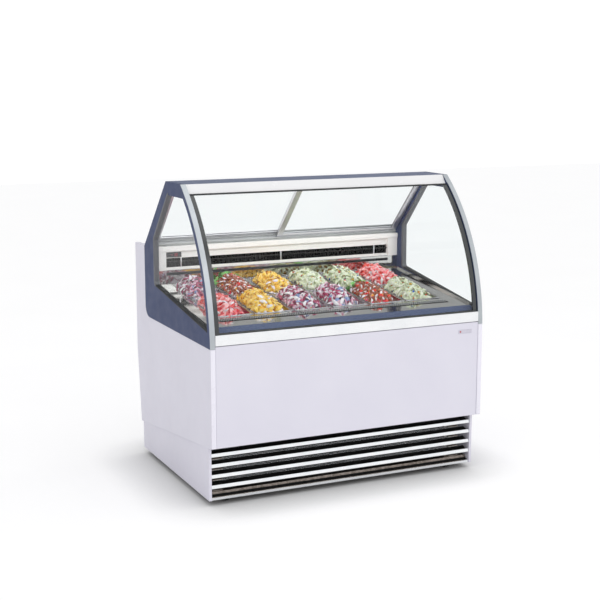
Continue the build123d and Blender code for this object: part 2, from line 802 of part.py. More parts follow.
with BuildPart() as compressor:
    # Hermetic shell with a seam flange, standing on a foot plate and rubber grommets.
    axis_up = Axis((compressor_x, compressor_y, 0), (0, 0, 1))
    z_a = tray_top + shell_lift
    shell_plane = Plane(origin=(compressor_x, compressor_y, z_a), x_dir=(1, 0, 0), z_dir=(0, -1, 0))
    with BuildSketch(shell_plane):
        with BuildLine():
            Polyline((0, 0), (shell_r - 26, 0), (shell_r - 26, 4))
            Spline(
                (shell_r - 26, 4), (shell_r - 6, 22), (shell_r, 50), tangents=((1, 0.5), (0, 1))
            )
            Polyline(
                (shell_r, 50), (shell_r, 90), (shell_r + 4, 90), (shell_r + 4, 96),
                (shell_r, 96), (shell_r, 126),
            )
            Spline(
                (shell_r, 126), (shell_r - 20, 158), (0, shell_h), tangents=((0, 1), (-1, 0))
            )
            Line((0, shell_h), (0, 0))
        make_face()
    revolve(axis=axis_up)
    with BuildSketch(Plane.XY.offset(z_a)):
        with Locations((compressor_x, compressor_y)):
            Rectangle(180, 140)
            with GridLocations(156, 116, 2, 2):
                Circle(6, mode=Mode.SUBTRACT)
    extrude(amount=-3)
    with BuildSketch(Plane.XY.offset(tray_top)):
        with Locations((compressor_x, compressor_y)):
            with GridLocations(156, 116, 2, 2):
                Circle(11)
    extrude(amount=shell_lift - 3.1)
save(compressor, "compressor")

fan_bore_r = 4.0
shaft_r = fan_bore_r - pin_fit


condenser_centre = (-250.0, from_front(215.0), tray_top + 103)
condenser_size = (360.0, 44.0, 190.0)
condenser_fan_y = from_front(275.0)
evaporator_centre = (-60.0, from_front(640.0), cavity_floor + 62)
evaporator_size = (560.0, 70.0, 96.0)
evaporator_fan_y = from_front(560.0)


def finned_coil(centre, size, fin_gap, hub_y, motor_sign):
    """A finned coil with its tubes, and the fan motor on a bridge in front of or behind it."""
    x, y, z = centre
    w, d, h = size
    count = int(w / fin_gap)
    rows = int(h / 30)
    with BuildPart() as coil:
        with BuildSketch(Plane.XY.offset(z - h / 2)):
            with Locations((x, y)):
                with GridLocations(fin_gap, 1, count, 1):
                    Rectangle(0.8, d)
            with Locations((x - w / 2 - 2, y), (x + w / 2 + 2, y)):
                Rectangle(2, d + 8)
        extrude(amount=h)
        with BuildSketch(Plane.YZ.offset(x - w / 2 - 14)):
            with Locations((y, z)):
                with GridLocations(d / 2, h / rows, 2, rows):
                    Circle(4.5)
        extrude(amount=w + 28)
        # Bridge from end plate to end plate, with the motor and its shaft.
        motor_face = hub_y + motor_sign * 26
        with BuildSketch(Plane.XZ.offset(-motor_face)):
            with Locations((x, z)):
                Circle(28)
                Rectangle(w + 6, 16)
        extrude(amount=-motor_sign * 4)
        with BuildSketch(Plane.XZ.offset(-motor_face)):
            with Locations((x, z)):
                Circle(28)
        extrude(amount=-motor_sign * 38)
        with BuildSketch(Plane.XZ.offset(-motor_face)):
            with Locations((x, z)):
                Circle(shaft_r)
        extrude(amount=motor_sign * 40)
        arm_a = y + (d / 2 + 4) * (1 if hub_y > y else -1)
        arm_b = motor_face + motor_sign * 4
        with BuildSketch(Plane.XY.offset(z - 8)):
            for side in (-1, 1):
                with Locations((x + side * (w / 2 + 2), (arm_a + arm_b) / 2)):
                    Rectangle(2, abs(arm_b - arm_a) + 2)
        extrude(amount=16)
    return coil


condenser_coil = finned_coil(condenser_centre, condenser_size, 6.0, condenser_fan_y, 1)
save(condenser_coil, "condenser_coil")
evaporator_coil = finned_coil(evaporator_centre, evaporator_size, 10.0, evaporator_fan_y, -1)
save(evaporator_coil, "evaporator_coil")


def fan_part(x, y, z, hub_r, tip_r, chord, blades):
    """An axial fan on a shaft along Y: a cup hub with pitched blades."""
    with BuildPart() as fan:
        with BuildSketch(Plane.XZ.offset(-(y - 12))):
            with Locations((x, z)):
                Circle(hub_r)
        extrude(amount=-24)
        blade_root = hub_r - 8
        blade_r = (blade_root + tip_r) / 2
        blade_l = tip_r - blade_root
        for turn in range(blades):
            angle = 360.0 / blades * turn
            plane = Plane(
                origin=(
                    x + blade_r * cos(radians(angle)), y, z + blade_r * sin(radians(angle))
                ),
                x_dir=(cos(radians(angle)), 0, sin(radians(angle))),
                z_dir=(0, -1, 0),
            )
            tilted = plane.rotated((28, 0, 0))
            with BuildSketch(tilted):
                RectangleRounded(blade_l, chord, 4)
            extrude(amount=0.9, both=True)
        with BuildSketch(Plane.XZ.offset(-(y - 13))):
            with Locations((x, z)):
                Circle(fan_bore_r)
        extrude(amount=-26, mode=Mode.SUBTRACT)
    return fan


condenser_fan = fan_part(
    condenser_centre[0], condenser_fan_y, condenser_centre[2], 26.0, 88.0, 46.0, 5
)
save(condenser_fan, "condenser_fan")
evaporator_fan = fan_part(
    evaporator_centre[0], evaporator_fan_y, evaporator_centre[2], 20.0, 48.0, 28.0, 5
)
save(evaporator_fan, "evaporator_fan")

pipe_r = 5.0


def pipe(points, bend):
    """A solid run of pipe along straight runs joined by bends, inside the current part."""
    with BuildLine(mode=Mode.PRIVATE) as route:
        FilletPolyline(*points, radius=bend)
    start = route.wires()[0]
    with BuildSketch(Plane(origin=start @ 0, z_dir=start % 0)) as section:
        Circle(pipe_r)
    sweep(sections=section.sketch, path=start)


with BuildPart() as refrigerant_pipes:
    # Hot gas line, liquid line up into the tub, and the suction line back.
    top_z = 275.0
    pipe(
        [
            (compressor_x - shell_r - 1, compressor_y, 175),
            (compressor_x - shell_r - 60, compressor_y, 175),
            (compressor_x - shell_r - 60, compressor_y, top_z),
            (-44, compressor_y, top_z),
            (-44, condenser_centre[1], top_z),
            (-44, condenser_centre[1], 200),
        ],
        20,
    )
    pipe(
        [
            (-44, condenser_centre[1], 110),
            (-44, from_front(640), 110),
            (310, from_front(640), 110),
            (310, from_front(640), 395),
            (evaporator_centre[0] + evaporator_size[0] / 2 + 40, from_front(640), 395),
        ],
        20,
    )
    pipe(
        [
            (350, from_front(640), 430),
            (350, from_front(640), 175),
            (compressor_x, compressor_y + shell_r + 60, 175),
            (compressor_x, compressor_y + shell_r + 1, 175),
        ],
        16,
    )
save(refrigerant_pipes, "refrigerant_pipes")

# ---------------------------------------------------------------------------
# Rear: panel, control box and mains switch
# ---------------------------------------------------------------------------
rear_setback = 9.0
rear_face = back - rear_setback
rear_kink_z = 480.0
rear_low = (from_front(872.0), 60.0)
rear_sheet = 2.0
shelf_z = rear_top_z - 6.0
box_x = (380.0, 560.0)
box_z = (790.0, 930.0)
bezel_x = 450.0
bezel_z = 880.0
bezel_hole = (28.0, 40.0)
inlet_x = 510.0
inlet_hole = (28.0, 24.0)

with BuildPart() as rear_panel:
    # Folded sheet: a leaning lower back with air slots, an upright back and the shelf.
    with BuildSketch(Plane.YZ.offset(-span)):
        with BuildLine():
            Polyline(
                (rear_low[0], rear_low[1]), (from_front(872.0), panel_back_z),
                (rear_face, rear_kink_z), (rear_face, shelf_z), (tub_back + 1, shelf_z),
                (tub_back + 1, shelf_z - rear_sheet), (rear_face - rear_sheet, shelf_z - rear_sheet),
                (rear_face - rear_sheet, rear_kink_z), (from_front(872.0) - rear_sheet, panel_back_z),
                (rear_low[0] - rear_sheet, rear_low[1]), (rear_low[0], rear_low[1]),
            )
        make_face()
    extrude(amount=2 * span)
    with BuildSketch(Plane.XZ.offset(-from_front(840.0))):
        with Locations((-200, 105)):
            with GridLocations(1, 14, 1, 6):
                SlotOverall(340, 6)
        with Locations((250, 105)):
            with GridLocations(1, 14, 1, 6):
                SlotOverall(340, 6)
        with Locations((bezel_x, bezel_z)):
            Rectangle(bezel_hole[0] + 0.6, bezel_hole[1] + 0.6)
        with Locations((inlet_x, bezel_z)):
            Rectangle(inlet_hole[0] + 0.6, inlet_hole[1] + 0.6)
    extrude(amount=-80, mode=Mode.SUBTRACT)
save(rear_panel, "rear_panel")

rocker = (22.0, 32.0)
rocker_pin_r = 1.5

with BuildPart() as control_box:
    # Steel box behind the rear panel, with the switch bezel and the mains inlet.
    box_back = rear_face - rear_sheet - 4
    box_depth = 72.0
    with BuildSketch(Plane.XZ.offset(-box_back)):
        with Locations(((box_x[0] + box_x[1]) / 2, (box_z[0] + box_z[1]) / 2)):
            Rectangle(box_x[1] - box_x[0], box_z[1] - box_z[0])
    extrude(amount=box_depth)
    fillet(control_box.edges().filter_by(Axis.Y), radius=4)
    with BuildSketch(Plane.XZ.offset(-box_back)):
        with Locations((bezel_x, bezel_z)):
            Rectangle(bezel_hole[0], bezel_hole[1])
        with Locations((inlet_x, bezel_z)):
            Rectangle(inlet_hole[0], inlet_hole[1])
    extrude(amount=-4 - rear_sheet - 1.5)
    # Well of the rocker, and the three-pin recess of the inlet.
    with BuildSketch(Plane.XZ.offset(-(rear_face + 2))):
        with Locations((bezel_x, bezel_z)):
            Rectangle(rocker[0] + 1.0, rocker[1] + 1.0)
        with Locations((inlet_x, bezel_z)):
            Rectangle(inlet_hole[0] - 5, inlet_hole[1] - 7)
    extrude(amount=15, mode=Mode.SUBTRACT)
    with BuildSketch(Plane.XZ.offset(-(rear_face - 13))):
        with Locations((inlet_x - 7, bezel_z), (inlet_x, bezel_z - 3), (inlet_x + 7, bezel_z)):
            Rectangle(2, 5)
    extrude(amount=-11)
    # Pivot pin of the rocker.
    with BuildSketch(Plane.YZ.offset(bezel_x - rocker[0] / 2 - 1)):
        with Locations((rear_face - 3, bezel_z)):
            Circle(rocker_pin_r)
    extrude(amount=rocker[0] + 2)
save(control_box, "control_box")

with BuildPart() as power_switch:
    # Rocker with a dished face, on its pin.
    y_pin = rear_face - 3
    with BuildSketch(Plane.YZ.offset(bezel_x - rocker[0] / 2)):
        with BuildLine():
            Polyline(
                (y_pin + 7, bezel_z + rocker[1] / 2 - 1), (y_pin + 3.4, bezel_z),
                (y_pin + 4.4, bezel_z - rocker[1] / 2 + 0.6), (y_pin, bezel_z - rocker[1] / 2 + 1),
                (y_pin - 4, bezel_z - 4), (y_pin - 4, bezel_z + 4),
                (y_pin, bezel_z + rocker[1] / 2 - 1), (y_pin + 7, bezel_z + rocker[1] / 2 - 1),
            )
        make_face()
    extrude(amount=rocker[0])
    with BuildSketch(Plane.YZ.offset(bezel_x - rocker[0] / 2 - 1)):
        with Locations((y_pin, bezel_z)):
            Circle(rocker_pin_r + pin_fit)
    extrude(amount=rocker[0] + 2, mode=Mode.SUBTRACT)
save(power_switch, "power_switch")

# ---------------------------------------------------------------------------
# Twelve pans with their ice cream
# ---------------------------------------------------------------------------
rim_t = 1.5
pan_mouth = (pan_hole[0] - 3.0, pan_hole[1] - 3.0)
ice_low = 24.0  # edge of the ice cream below the rim
ice_high = 42.0  # crown of the ice cream above the rim
ice_taper = 30.0
ice_gap = 0.4

for row, row_name in enumerate(("front", "rear")):
    for column in range(pan_columns):
        u = (column - (pan_columns - 1) / 2) * pan_pitch_x
        v = pan_first + row * pan_pitch_y
        rim_plane = deck_plane(u, v, clearance)

        with BuildPart() as pan:
            # Drawn pan: a tapered box with a rounded plan and a flat rim.
            with BuildSketch(rim_plane):
                RectangleRounded(pan_mouth[0], pan_mouth[1], 14)
            extrude(amount=-pan_depth, taper=pan_taper)
            with BuildSketch(rim_plane):
                RectangleRounded(pan_width, pan_length, 8)
            extrude(amount=rim_t)
            with BuildSketch(deck_plane(u, v, clearance + rim_t)):
                RectangleRounded(pan_mouth[0] - 2 * pan_wall, pan_mouth[1] - 2 * pan_wall, 12.5)
            extrude(amount=-pan_depth, taper=pan_taper, mode=Mode.SUBTRACT)
        save(pan, f"pan_{row_name}_{column + 1}")

        with BuildPart() as ice_cream:
            # Ice cream: it fills the pan below the rim and is heaped above it.
            shrink = 2 * (ice_low * sin(radians(pan_taper)) + pan_wall + ice_gap)
            top = (pan_mouth[0] - shrink - 1, pan_mouth[1] - shrink - 1)
            with BuildSketch(deck_plane(u, v, clearance - ice_low)):
                RectangleRounded(top[0], top[1], 10)
            extrude(amount=-(pan_depth - ice_low - pan_wall - 2), taper=pan_taper)
            with BuildSketch(deck_plane(u, v, clearance - ice_low)):
                RectangleRounded(top[0], top[1], 10)
            extrude(amount=ice_low + ice_high, taper=ice_taper)
        save(ice_cream, f"ice_cream_{row_name}_{column + 1}")
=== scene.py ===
"""The looks of a curved-glass ice cream dipping cabinet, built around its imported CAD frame.

Lengths in the classes are millimetres in the frame of the cabinet: the origin is on the floor under the
middle, X to the right, the front towards -Y and Z up. Meshes are metres.
"""

import logging
import math
from dataclasses import dataclass, field
from enum import Enum

import bmesh
import bpy
from mathutils import Euler, Matrix, Vector, noise


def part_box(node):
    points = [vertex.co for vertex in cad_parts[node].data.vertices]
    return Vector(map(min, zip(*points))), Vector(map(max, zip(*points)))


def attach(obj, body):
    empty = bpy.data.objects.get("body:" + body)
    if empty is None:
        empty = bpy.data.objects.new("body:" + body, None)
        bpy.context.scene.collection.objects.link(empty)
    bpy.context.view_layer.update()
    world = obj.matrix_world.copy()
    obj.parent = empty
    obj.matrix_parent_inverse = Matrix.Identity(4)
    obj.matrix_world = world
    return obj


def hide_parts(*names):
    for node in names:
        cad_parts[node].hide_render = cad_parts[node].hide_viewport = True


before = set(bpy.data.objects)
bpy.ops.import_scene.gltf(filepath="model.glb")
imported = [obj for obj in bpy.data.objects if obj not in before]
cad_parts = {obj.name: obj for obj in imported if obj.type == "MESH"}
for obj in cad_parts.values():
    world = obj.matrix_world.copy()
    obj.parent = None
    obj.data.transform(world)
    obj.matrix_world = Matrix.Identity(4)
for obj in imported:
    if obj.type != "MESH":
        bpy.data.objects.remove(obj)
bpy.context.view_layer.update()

MM = 0.001
CABINET = "cabinet"
SMOOTH_DEG = 32.0
log = logging.getLogger("cabinet")

Socket = bpy.types.NodeSocket
Profile = list[tuple[float, float]]


class Side(Enum):
    """A side of the cabinet, with the sign of its X."""

    LEFT = -1
    RIGHT = 1

    @property
    def word(self) -> str:
        """The side's name in the names of pieces."""
        return self.name.lower()


# -------------------------------------------------------------------------------------- nodes and finishes


def linear(code: str) -> tuple[float, float, float, float]:
    """Turns an sRGB hex colour into the linear colour that nodes take.

    Args:
        code: Six hex digits, such as "c8d0ff".

    Returns:
        Linear red, green, blue and an alpha of 1.
    """
    parts = [int(code[i:i + 2], 16) / 255 for i in (0, 2, 4)]
    return (*[p / 12.92 if p <= 0.04045 else ((p + 0.055) / 1.055) ** 2.4 for p in parts], 1.0)


def per_metre(size_mm: float) -> float:
    """The noise scale whose features are size_mm across."""
    return 1000.0 / size_mm


def add(tree: bpy.types.NodeTree, kind: str, inputs: dict | None = None, stops: list | None = None,
        **settings: object) -> bpy.types.Node:
    """Adds one node to a tree, sets it and links it.

    Args:
        tree: A material's, world's or geometry's node tree.
        kind: The node's type name.
        inputs: Input name or number to a socket, which is linked, or to a value, which is set.
        stops: (position, colour) pairs of a colour ramp.
        settings: Properties of the node itself.

    Returns:
        The new node.
    """
    node = tree.nodes.new(kind)
    for name, value in settings.items():
        setattr(node, name, value)
    for key, value in (inputs or {}).items():
        if isinstance(value, Socket):
            tree.links.new(value, node.inputs[key])
        else:
            node.inputs[key].default_value = value
    if stops:
        ramp = node.color_ramp
        while len(ramp.elements) < len(stops):
            ramp.elements.new(1.0)
        for element, (position, colour) in zip(ramp.elements, stops):
            element.position, element.color = position, colour
    return node


_made: dict[object, bpy.types.Material] = {}


@dataclass(frozen=True)
class Finish:
    """A surface finish. Its material is made once and shared by all pieces that have it."""

    name: str

    def surface(self, tree: bpy.types.NodeTree, place: Socket) -> Socket:
        """Wires the finish.

        Args:
            tree: The material's node tree.
            place: The piece's own coordinates, in metres.

        Returns:
            The shader's output.
        """
        raise NotImplementedError

    def material(self) -> bpy.types.Material:
        """The finish's material."""
        if self not in _made:
            material = bpy.data.materials.new(self.name)
            material.use_nodes = True
            tree = material.node_tree
            tree.nodes.clear()
            place = add(tree, "ShaderNodeTexCoord").outputs["Object"]
            add(tree, "ShaderNodeOutputMaterial", {"Surface": self.surface(tree, place)})
            _made[self] = material
        return _made[self]


@dataclass(frozen=True)
class Coating(Finish):
    """Powder coat, laminate or moulded plastic: one colour, clouds of a second, and a fine skin of bumps.

    The eye sees a soft, broad highlight that breaks up a little on the skin.
    """

    colour: str
    cloud: str
    roughness: float = 0.4
    skin_mm: float = 2.4
    skin_depth_mm: float = 0.02
    gloss: float = 0.0
    ior: float = 1.5
    shine: float = 0.5

    def surface(self, tree: bpy.types.NodeTree, place: Socket) -> Socket:
        """Wires the finish. See Finish.surface for the arguments and the result."""
        clouds = add(tree, "ShaderNodeTexNoise", {"Vector": place, "Scale": per_metre(220), "Detail": 4.0})
        tint = add(tree, "ShaderNodeValToRGB", {"Fac": clouds.outputs["Fac"]},
                   [(0.3, linear(self.colour)), (0.75, linear(self.cloud))])
        skin = add(tree, "ShaderNodeTexNoise",
                   {"Vector": place, "Scale": per_metre(self.skin_mm), "Detail": 2.0})
        rub = add(tree, "ShaderNodeTexNoise", {"Vector": place, "Scale": per_metre(45), "Detail": 6.0})
        dull = add(tree, "ShaderNodeMapRange", {"Value": rub.outputs["Fac"], "From Min": 0.3, "From Max": 0.7,
                                                "To Min": self.roughness - 0.05,
                                                "To Max": self.roughness + 0.06})
        bump = add(tree, "ShaderNodeBump", {"Height": skin.outputs["Fac"], "Strength": 0.6,
                                            "Distance": self.skin_depth_mm * MM})
        return add(tree, "ShaderNodeBsdfPrincipled", {
            "Base Color": tint.outputs["Color"], "Roughness": dull.outputs["Result"], "IOR": self.ior,
            "Specular IOR Level": self.shine, "Coat Weight": self.gloss, "Coat Roughness": 0.12,
            "Normal": bump.outputs["Normal"]}).outputs["BSDF"]


@dataclass(frozen=True)
class Metal(Finish):
    """Rolled, brushed or cast metal, with a grain that may be longer along one axis.

    The eye sees reflections smeared across the grain, and broad stains that hardly show.
    """

    colour: str
    stain: str
    roughness: float = 0.25
    grain_mm: tuple[float, float, float] = (60.0, 0.9, 0.9)
    grain_depth_mm: float = 0.012
    spread: float = 0.06

    def surface(self, tree: bpy.types.NodeTree, place: Socket) -> Socket:
        """Wires the finish. See Finish.surface for the arguments and the result."""
        stretch = add(tree, "ShaderNodeMapping",
                      {"Vector": place, "Scale": [per_metre(s) for s in self.grain_mm]})
        grain = add(tree, "ShaderNodeTexNoise",
                    {"Vector": stretch.outputs["Vector"], "Scale": 1.0, "Detail": 5.0,
                                                 "Roughness": 0.6})
        stains = add(tree, "ShaderNodeTexNoise", {"Vector": place, "Scale": per_metre(90), "Detail": 5.0})
        tint = add(tree, "ShaderNodeValToRGB", {"Fac": stains.outputs["Fac"]},
                   [(0.35, linear(self.colour)), (0.8, linear(self.stain))])
        dull = add(tree, "ShaderNodeMapRange",
                   {"Value": grain.outputs["Fac"], "From Min": 0.3, "From Max": 0.7,
                                                "To Min": max(self.roughness - self.spread, 0.03),
                                                "To Max": self.roughness + self.spread})
        bump = add(tree, "ShaderNodeBump", {"Height": grain.outputs["Fac"], "Strength": 0.5,
                                            "Distance": self.grain_depth_mm * MM})
        return add(tree, "ShaderNodeBsdfPrincipled", {
            "Base Color": tint.outputs["Color"], "Metallic": 1.0, "Roughness": dull.outputs["Result"],
            "Normal": bump.outputs["Normal"]}).outputs["BSDF"]


@dataclass(frozen=True)
class BlackedBlade(Metal):
    """Bright louvres: painted shade in black on the blades behind the nosing, up to a bare lip at the back."""

    # paint is the colour of the painted shade on the blades.
    paint: str = "050505"
    nose_y_mm: float = -397.5
    lip_y_mm: float = -360.4

    def surface(self, tree: bpy.types.NodeTree, place: Socket) -> Socket:
        """Wires the finish. See Finish.surface for the arguments and the result."""
        bare = super().surface(tree, place)
        y = add(tree, "ShaderNodeSeparateXYZ", {"Vector": place}).outputs["Y"]
        past = add(tree, "ShaderNodeMath", {0: y, 1: self.nose_y_mm * MM}, operation="GREATER_THAN")
        short = add(tree, "ShaderNodeMath", {0: y, 1: self.lip_y_mm * MM}, operation="LESS_THAN")
        shaded_blade = add(tree, "ShaderNodeMath", {0: past.outputs["Value"], 1: short.outputs["Value"]},
                    operation="MULTIPLY")
        specks = add(tree, "ShaderNodeTexNoise", {"Vector": place, "Scale": per_metre(3)})
        tint = add(tree, "ShaderNodeValToRGB", {"Fac": specks.outputs["Fac"]},
                   [(0.3, linear(self.paint)), (0.8, linear("0a0a0a"))])
        # black is the painted shade laid over the blades between nose and lip.
        black = add(tree, "ShaderNodeBsdfPrincipled", {"Base Color": tint.outputs["Color"], "Roughness": 0.6,
                                                       "Specular IOR Level": 0.3})
        return add(tree, "ShaderNodeMixShader", {0: shaded_blade.outputs["Value"], 1: bare,
                                                 2: black.outputs["BSDF"]}).outputs["Shader"]


@dataclass(frozen=True)
class Spangle(Finish):
    """Hot-dip galvanised steel: flat zinc crystals some 8 mm across, each with its own grey and shine."""

    light: str
    dark: str
    crystal_mm: float = 8.0

    def surface(self, tree: bpy.types.NodeTree, place: Socket) -> Socket:
        """Wires the finish. See Finish.surface for the arguments and the result."""
        crystals = add(tree, "ShaderNodeTexVoronoi", {"Vector": place, "Scale": per_metre(self.crystal_mm)})
        grey = add(tree, "ShaderNodeSeparateColor", {"Color": crystals.outputs["Color"]}).outputs["Red"]
        tint = add(tree, "ShaderNodeValToRGB", {"Fac": grey},
                   [(0.0, linear(self.dark)), (1.0, linear(self.light))])
        dull = add(tree, "ShaderNodeMapRange", {"Value": grey, "To Min": 0.32, "To Max": 0.55})
        bump = add(tree, "ShaderNodeBump", {"Height": crystals.outputs["Distance"], "Strength": 0.3,
                                            "Distance": 0.03 * MM})
        return add(tree, "ShaderNodeBsdfPrincipled", {
            "Base Color": tint.outputs["Color"], "Metallic": 1.0, "Roughness": dull.outputs["Result"],
            "Normal": bump.outputs["Normal"]}).outputs["BSDF"]


@dataclass(frozen=True)
class ClearGlass(Finish):
    """Toughened float glass: almost all light goes straight through, the rest is mirrored, more at a slant.

    A film of fingerprints dulls the mirror a little here and there.
    """

    tint: str = "fdfefe"

    def surface(self, tree: bpy.types.NodeTree, place: Socket) -> Socket:
        """Wires the finish. See Finish.surface for the arguments and the result."""
        film = add(tree, "ShaderNodeTexNoise", {"Vector": place, "Scale": per_metre(70), "Detail": 5.0})
        dull = add(tree, "ShaderNodeMapRange",
                   {"Value": film.outputs["Fac"], "From Min": 0.45, "From Max": 0.8,
                                                "To Min": 0.0, "To Max": 0.06})
        slant = add(tree, "ShaderNodeLayerWeight", {"Blend": 0.5}).outputs["Facing"]
        rise = add(tree, "ShaderNodeMath", {0: slant, 1: 5.0}, operation="POWER").outputs["Value"]
        share = add(tree, "ShaderNodeMapRange",
                    {"Value": rise, "To Min": 0.008, "To Max": 0.25}).outputs["Result"]
        clear = add(tree, "ShaderNodeBsdfTransparent", {"Color": linear(self.tint)}).outputs["BSDF"]
        mirror = add(tree, "ShaderNodeBsdfGlossy",
                     {"Color": (1, 1, 1, 1), "Roughness": dull.outputs["Result"]})
        return add(tree, "ShaderNodeMixShader",
                   {0: share, 1: clear, 2: mirror.outputs["BSDF"]}).outputs["Shader"]


@dataclass(frozen=True)
class Glow(Finish):
    """A lit diffuser or digit: a plastic that gives light of its own, uneven over a few centimetres."""

    colour: str
    strength: float

    def surface(self, tree: bpy.types.NodeTree, place: Socket) -> Socket:
        """Wires the finish. See Finish.surface for the arguments and the result."""
        spots = add(tree, "ShaderNodeTexNoise", {"Vector": place, "Scale": per_metre(16), "Detail": 1.0})
        dim = [channel * 0.8 for channel in linear(self.colour)[:3]]
        tint = add(tree, "ShaderNodeValToRGB", {"Fac": spots.outputs["Fac"]},
                   [(0.3, (*dim, 1.0)), (0.7, linear(self.colour))])
        return add(tree, "ShaderNodeBsdfPrincipled", {
            "Base Color": tint.outputs["Color"], "Emission Color": tint.outputs["Color"],
            "Emission Strength": self.strength, "Roughness": 0.4}).outputs["BSDF"]


@dataclass(frozen=True)
class Backdrop(Finish):
    """A lit white backdrop: matt, giving light of its own, which ambient occlusion dims where something stands
    close above it: a painted contact shadow.
    """

    colour: str
    cloud: str
    glow: float = 0.46
    reach_m: float = 0.28

    def surface(self, tree: bpy.types.NodeTree, place: Socket) -> Socket:
        """Wires the finish. See Finish.surface for the arguments and the result."""
        clouds = add(tree, "ShaderNodeTexNoise", {"Vector": place, "Scale": per_metre(600), "Detail": 2.0})
        tint = add(tree, "ShaderNodeValToRGB", {"Fac": clouds.outputs["Fac"]},
                   [(0.3, linear(self.colour)), (0.75, linear(self.cloud))])
        # Ambient occlusion dims the glow near the cabinet: a painted contact shadow.
        near = add(tree, "ShaderNodeAmbientOcclusion", {"Distance": self.reach_m})
        unshadowed_share = add(tree, "ShaderNodeMath", {0: near.outputs["AO"], 1: 2.0}, operation="POWER")
        glow = add(tree, "ShaderNodeMath", {0: unshadowed_share.outputs["Value"], 1: self.glow},
                   operation="MULTIPLY")
        return add(tree, "ShaderNodeBsdfPrincipled", {
            "Base Color": tint.outputs["Color"], "Roughness": 0.9, "Specular IOR Level": 0.0,
            "Emission Color": (1.0, 1.0, 1.0, 1.0),
            "Emission Strength": glow.outputs["Value"]}).outputs["BSDF"]


@dataclass(frozen=True)
class Frozen(Finish):
    """Churned ice cream: a base with ripples of a second colour, pools of syrup and flecks of cream.

    It is matt and a little translucent, with a crumbly skin, and shines only where syrup lies on it.
    """

    base: str
    ripple: str
    syrup: str
    cream: str
    syrup_share: float = 0.4

    def surface(self, tree: bpy.types.NodeTree, place: Socket) -> Socket:
        """Wires the finish. See Finish.surface for the arguments and the result."""
        swirl = add(tree, "ShaderNodeTexNoise", {"Vector": place, "Scale": per_metre(26), "Detail": 3.0,
                                                 "Distortion": 1.6})
        ice = add(tree, "ShaderNodeValToRGB", {"Fac": swirl.outputs["Fac"]}, [
            (0.36, linear(self.cream)), (0.46, linear(self.base)), (0.56, linear(self.base)),
            (0.66, linear(self.ripple))])
        pools = add(tree, "ShaderNodeTexNoise", {"Vector": place, "Scale": per_metre(34), "Detail": 2.0,
                                                 "Distortion": 2.2, "Roughness": 0.4})
        edge = 0.72 - 0.3 * self.syrup_share
        wet = add(tree, "ShaderNodeMapRange", {"Value": pools.outputs["Fac"], "From Min": edge,
                                               "From Max": edge + 0.05}).outputs["Result"]
        tint = add(tree, "ShaderNodeMixRGB", {"Fac": wet, "Color1": ice.outputs["Color"],
                                              "Color2": linear(self.syrup)})
        dull = add(tree, "ShaderNodeMapRange", {"Value": wet, "To Min": 0.5, "To Max": 0.16})
        crumb = add(tree, "ShaderNodeTexNoise", {"Vector": place, "Scale": per_metre(3.5), "Detail": 6.0,
                                                 "Roughness": 0.7})
        bump = add(tree, "ShaderNodeBump",
                   {"Height": crumb.outputs["Fac"], "Strength": 0.9, "Distance": 1.2 * MM})
        return add(tree, "ShaderNodeBsdfPrincipled", {
            "Base Color": tint.outputs["Color"], "Roughness": dull.outputs["Result"], "IOR": 1.35,
            "Coat Weight": 0.25, "Coat Roughness": 0.1, "Normal": bump.outputs["Normal"]}).outputs["BSDF"]


@dataclass(frozen=True)
class TubSkin(Finish):
    """The foamed tub: white enamelled steel inside, and a black bitumen coat on its underside."""

    white: str = "dcdcdc"
    black: str = "0e0e0f"
    coat_top_mm: float = 335.0

    def surface(self, tree: bpy.types.NodeTree, place: Socket) -> Socket:
        """Wires the finish. See Finish.surface for the arguments and the result."""
        level = add(tree, "ShaderNodeSeparateXYZ", {"Vector": place}).outputs["Z"]
        above = add(tree, "ShaderNodeMapRange", {"Value": level, "From Min": (self.coat_top_mm - 2) * MM,
                                                 "From Max": self.coat_top_mm * MM}).outputs["Result"]
        grit = add(tree, "ShaderNodeTexNoise", {"Vector": place, "Scale": per_metre(5), "Detail": 4.0})
        tint = add(tree, "ShaderNodeMixRGB", {"Fac": above, "Color1": linear(self.black),
                                              "Color2": linear(self.white)})
        bump = add(tree, "ShaderNodeBump",
                   {"Height": grit.outputs["Fac"], "Strength": 0.5, "Distance": 0.2 * MM})
        return add(tree, "ShaderNodeBsdfPrincipled", {
            "Base Color": tint.outputs["Color"], "Roughness": 0.55,
            "Normal": bump.outputs["Normal"]}).outputs["BSDF"]


@dataclass(frozen=True)
class Morsel(Finish):
    """Fruit, nuts, chocolate and sugar pearls: two tints in small blotches, under a glaze."""

    colour: str
    blotch: str
    roughness: float = 0.3
    blotch_mm: float = 6.0
    glaze: float = 0.5

    def surface(self, tree: bpy.types.NodeTree, place: Socket) -> Socket:
        """Wires the finish. See Finish.surface for the arguments and the result."""
        spots = add(tree, "ShaderNodeTexNoise",
                    {"Vector": place, "Scale": per_metre(self.blotch_mm), "Detail": 2.0})
        tint = add(tree, "ShaderNodeValToRGB", {"Fac": spots.outputs["Fac"]},
                   [(0.42, linear(self.colour)), (0.6, linear(self.blotch))])
        pits = add(tree, "ShaderNodeTexVoronoi", {"Vector": place, "Scale": per_metre(1.6)})
        bump = add(tree, "ShaderNodeBump", {"Height": pits.outputs["Distance"], "Strength": 0.4,
                                            "Distance": 0.3 * MM})
        dull = add(tree, "ShaderNodeMapRange", {"Value": spots.outputs["Fac"], "To Min": self.roughness,
                                                "To Max": self.roughness + 0.15})
        return add(tree, "ShaderNodeBsdfPrincipled", {
            "Base Color": tint.outputs["Color"], "Roughness": dull.outputs["Result"], "IOR": 1.4,
            "Coat Weight": self.glaze, "Coat Roughness": 0.08,
            "Normal": bump.outputs["Normal"]}).outputs["BSDF"]


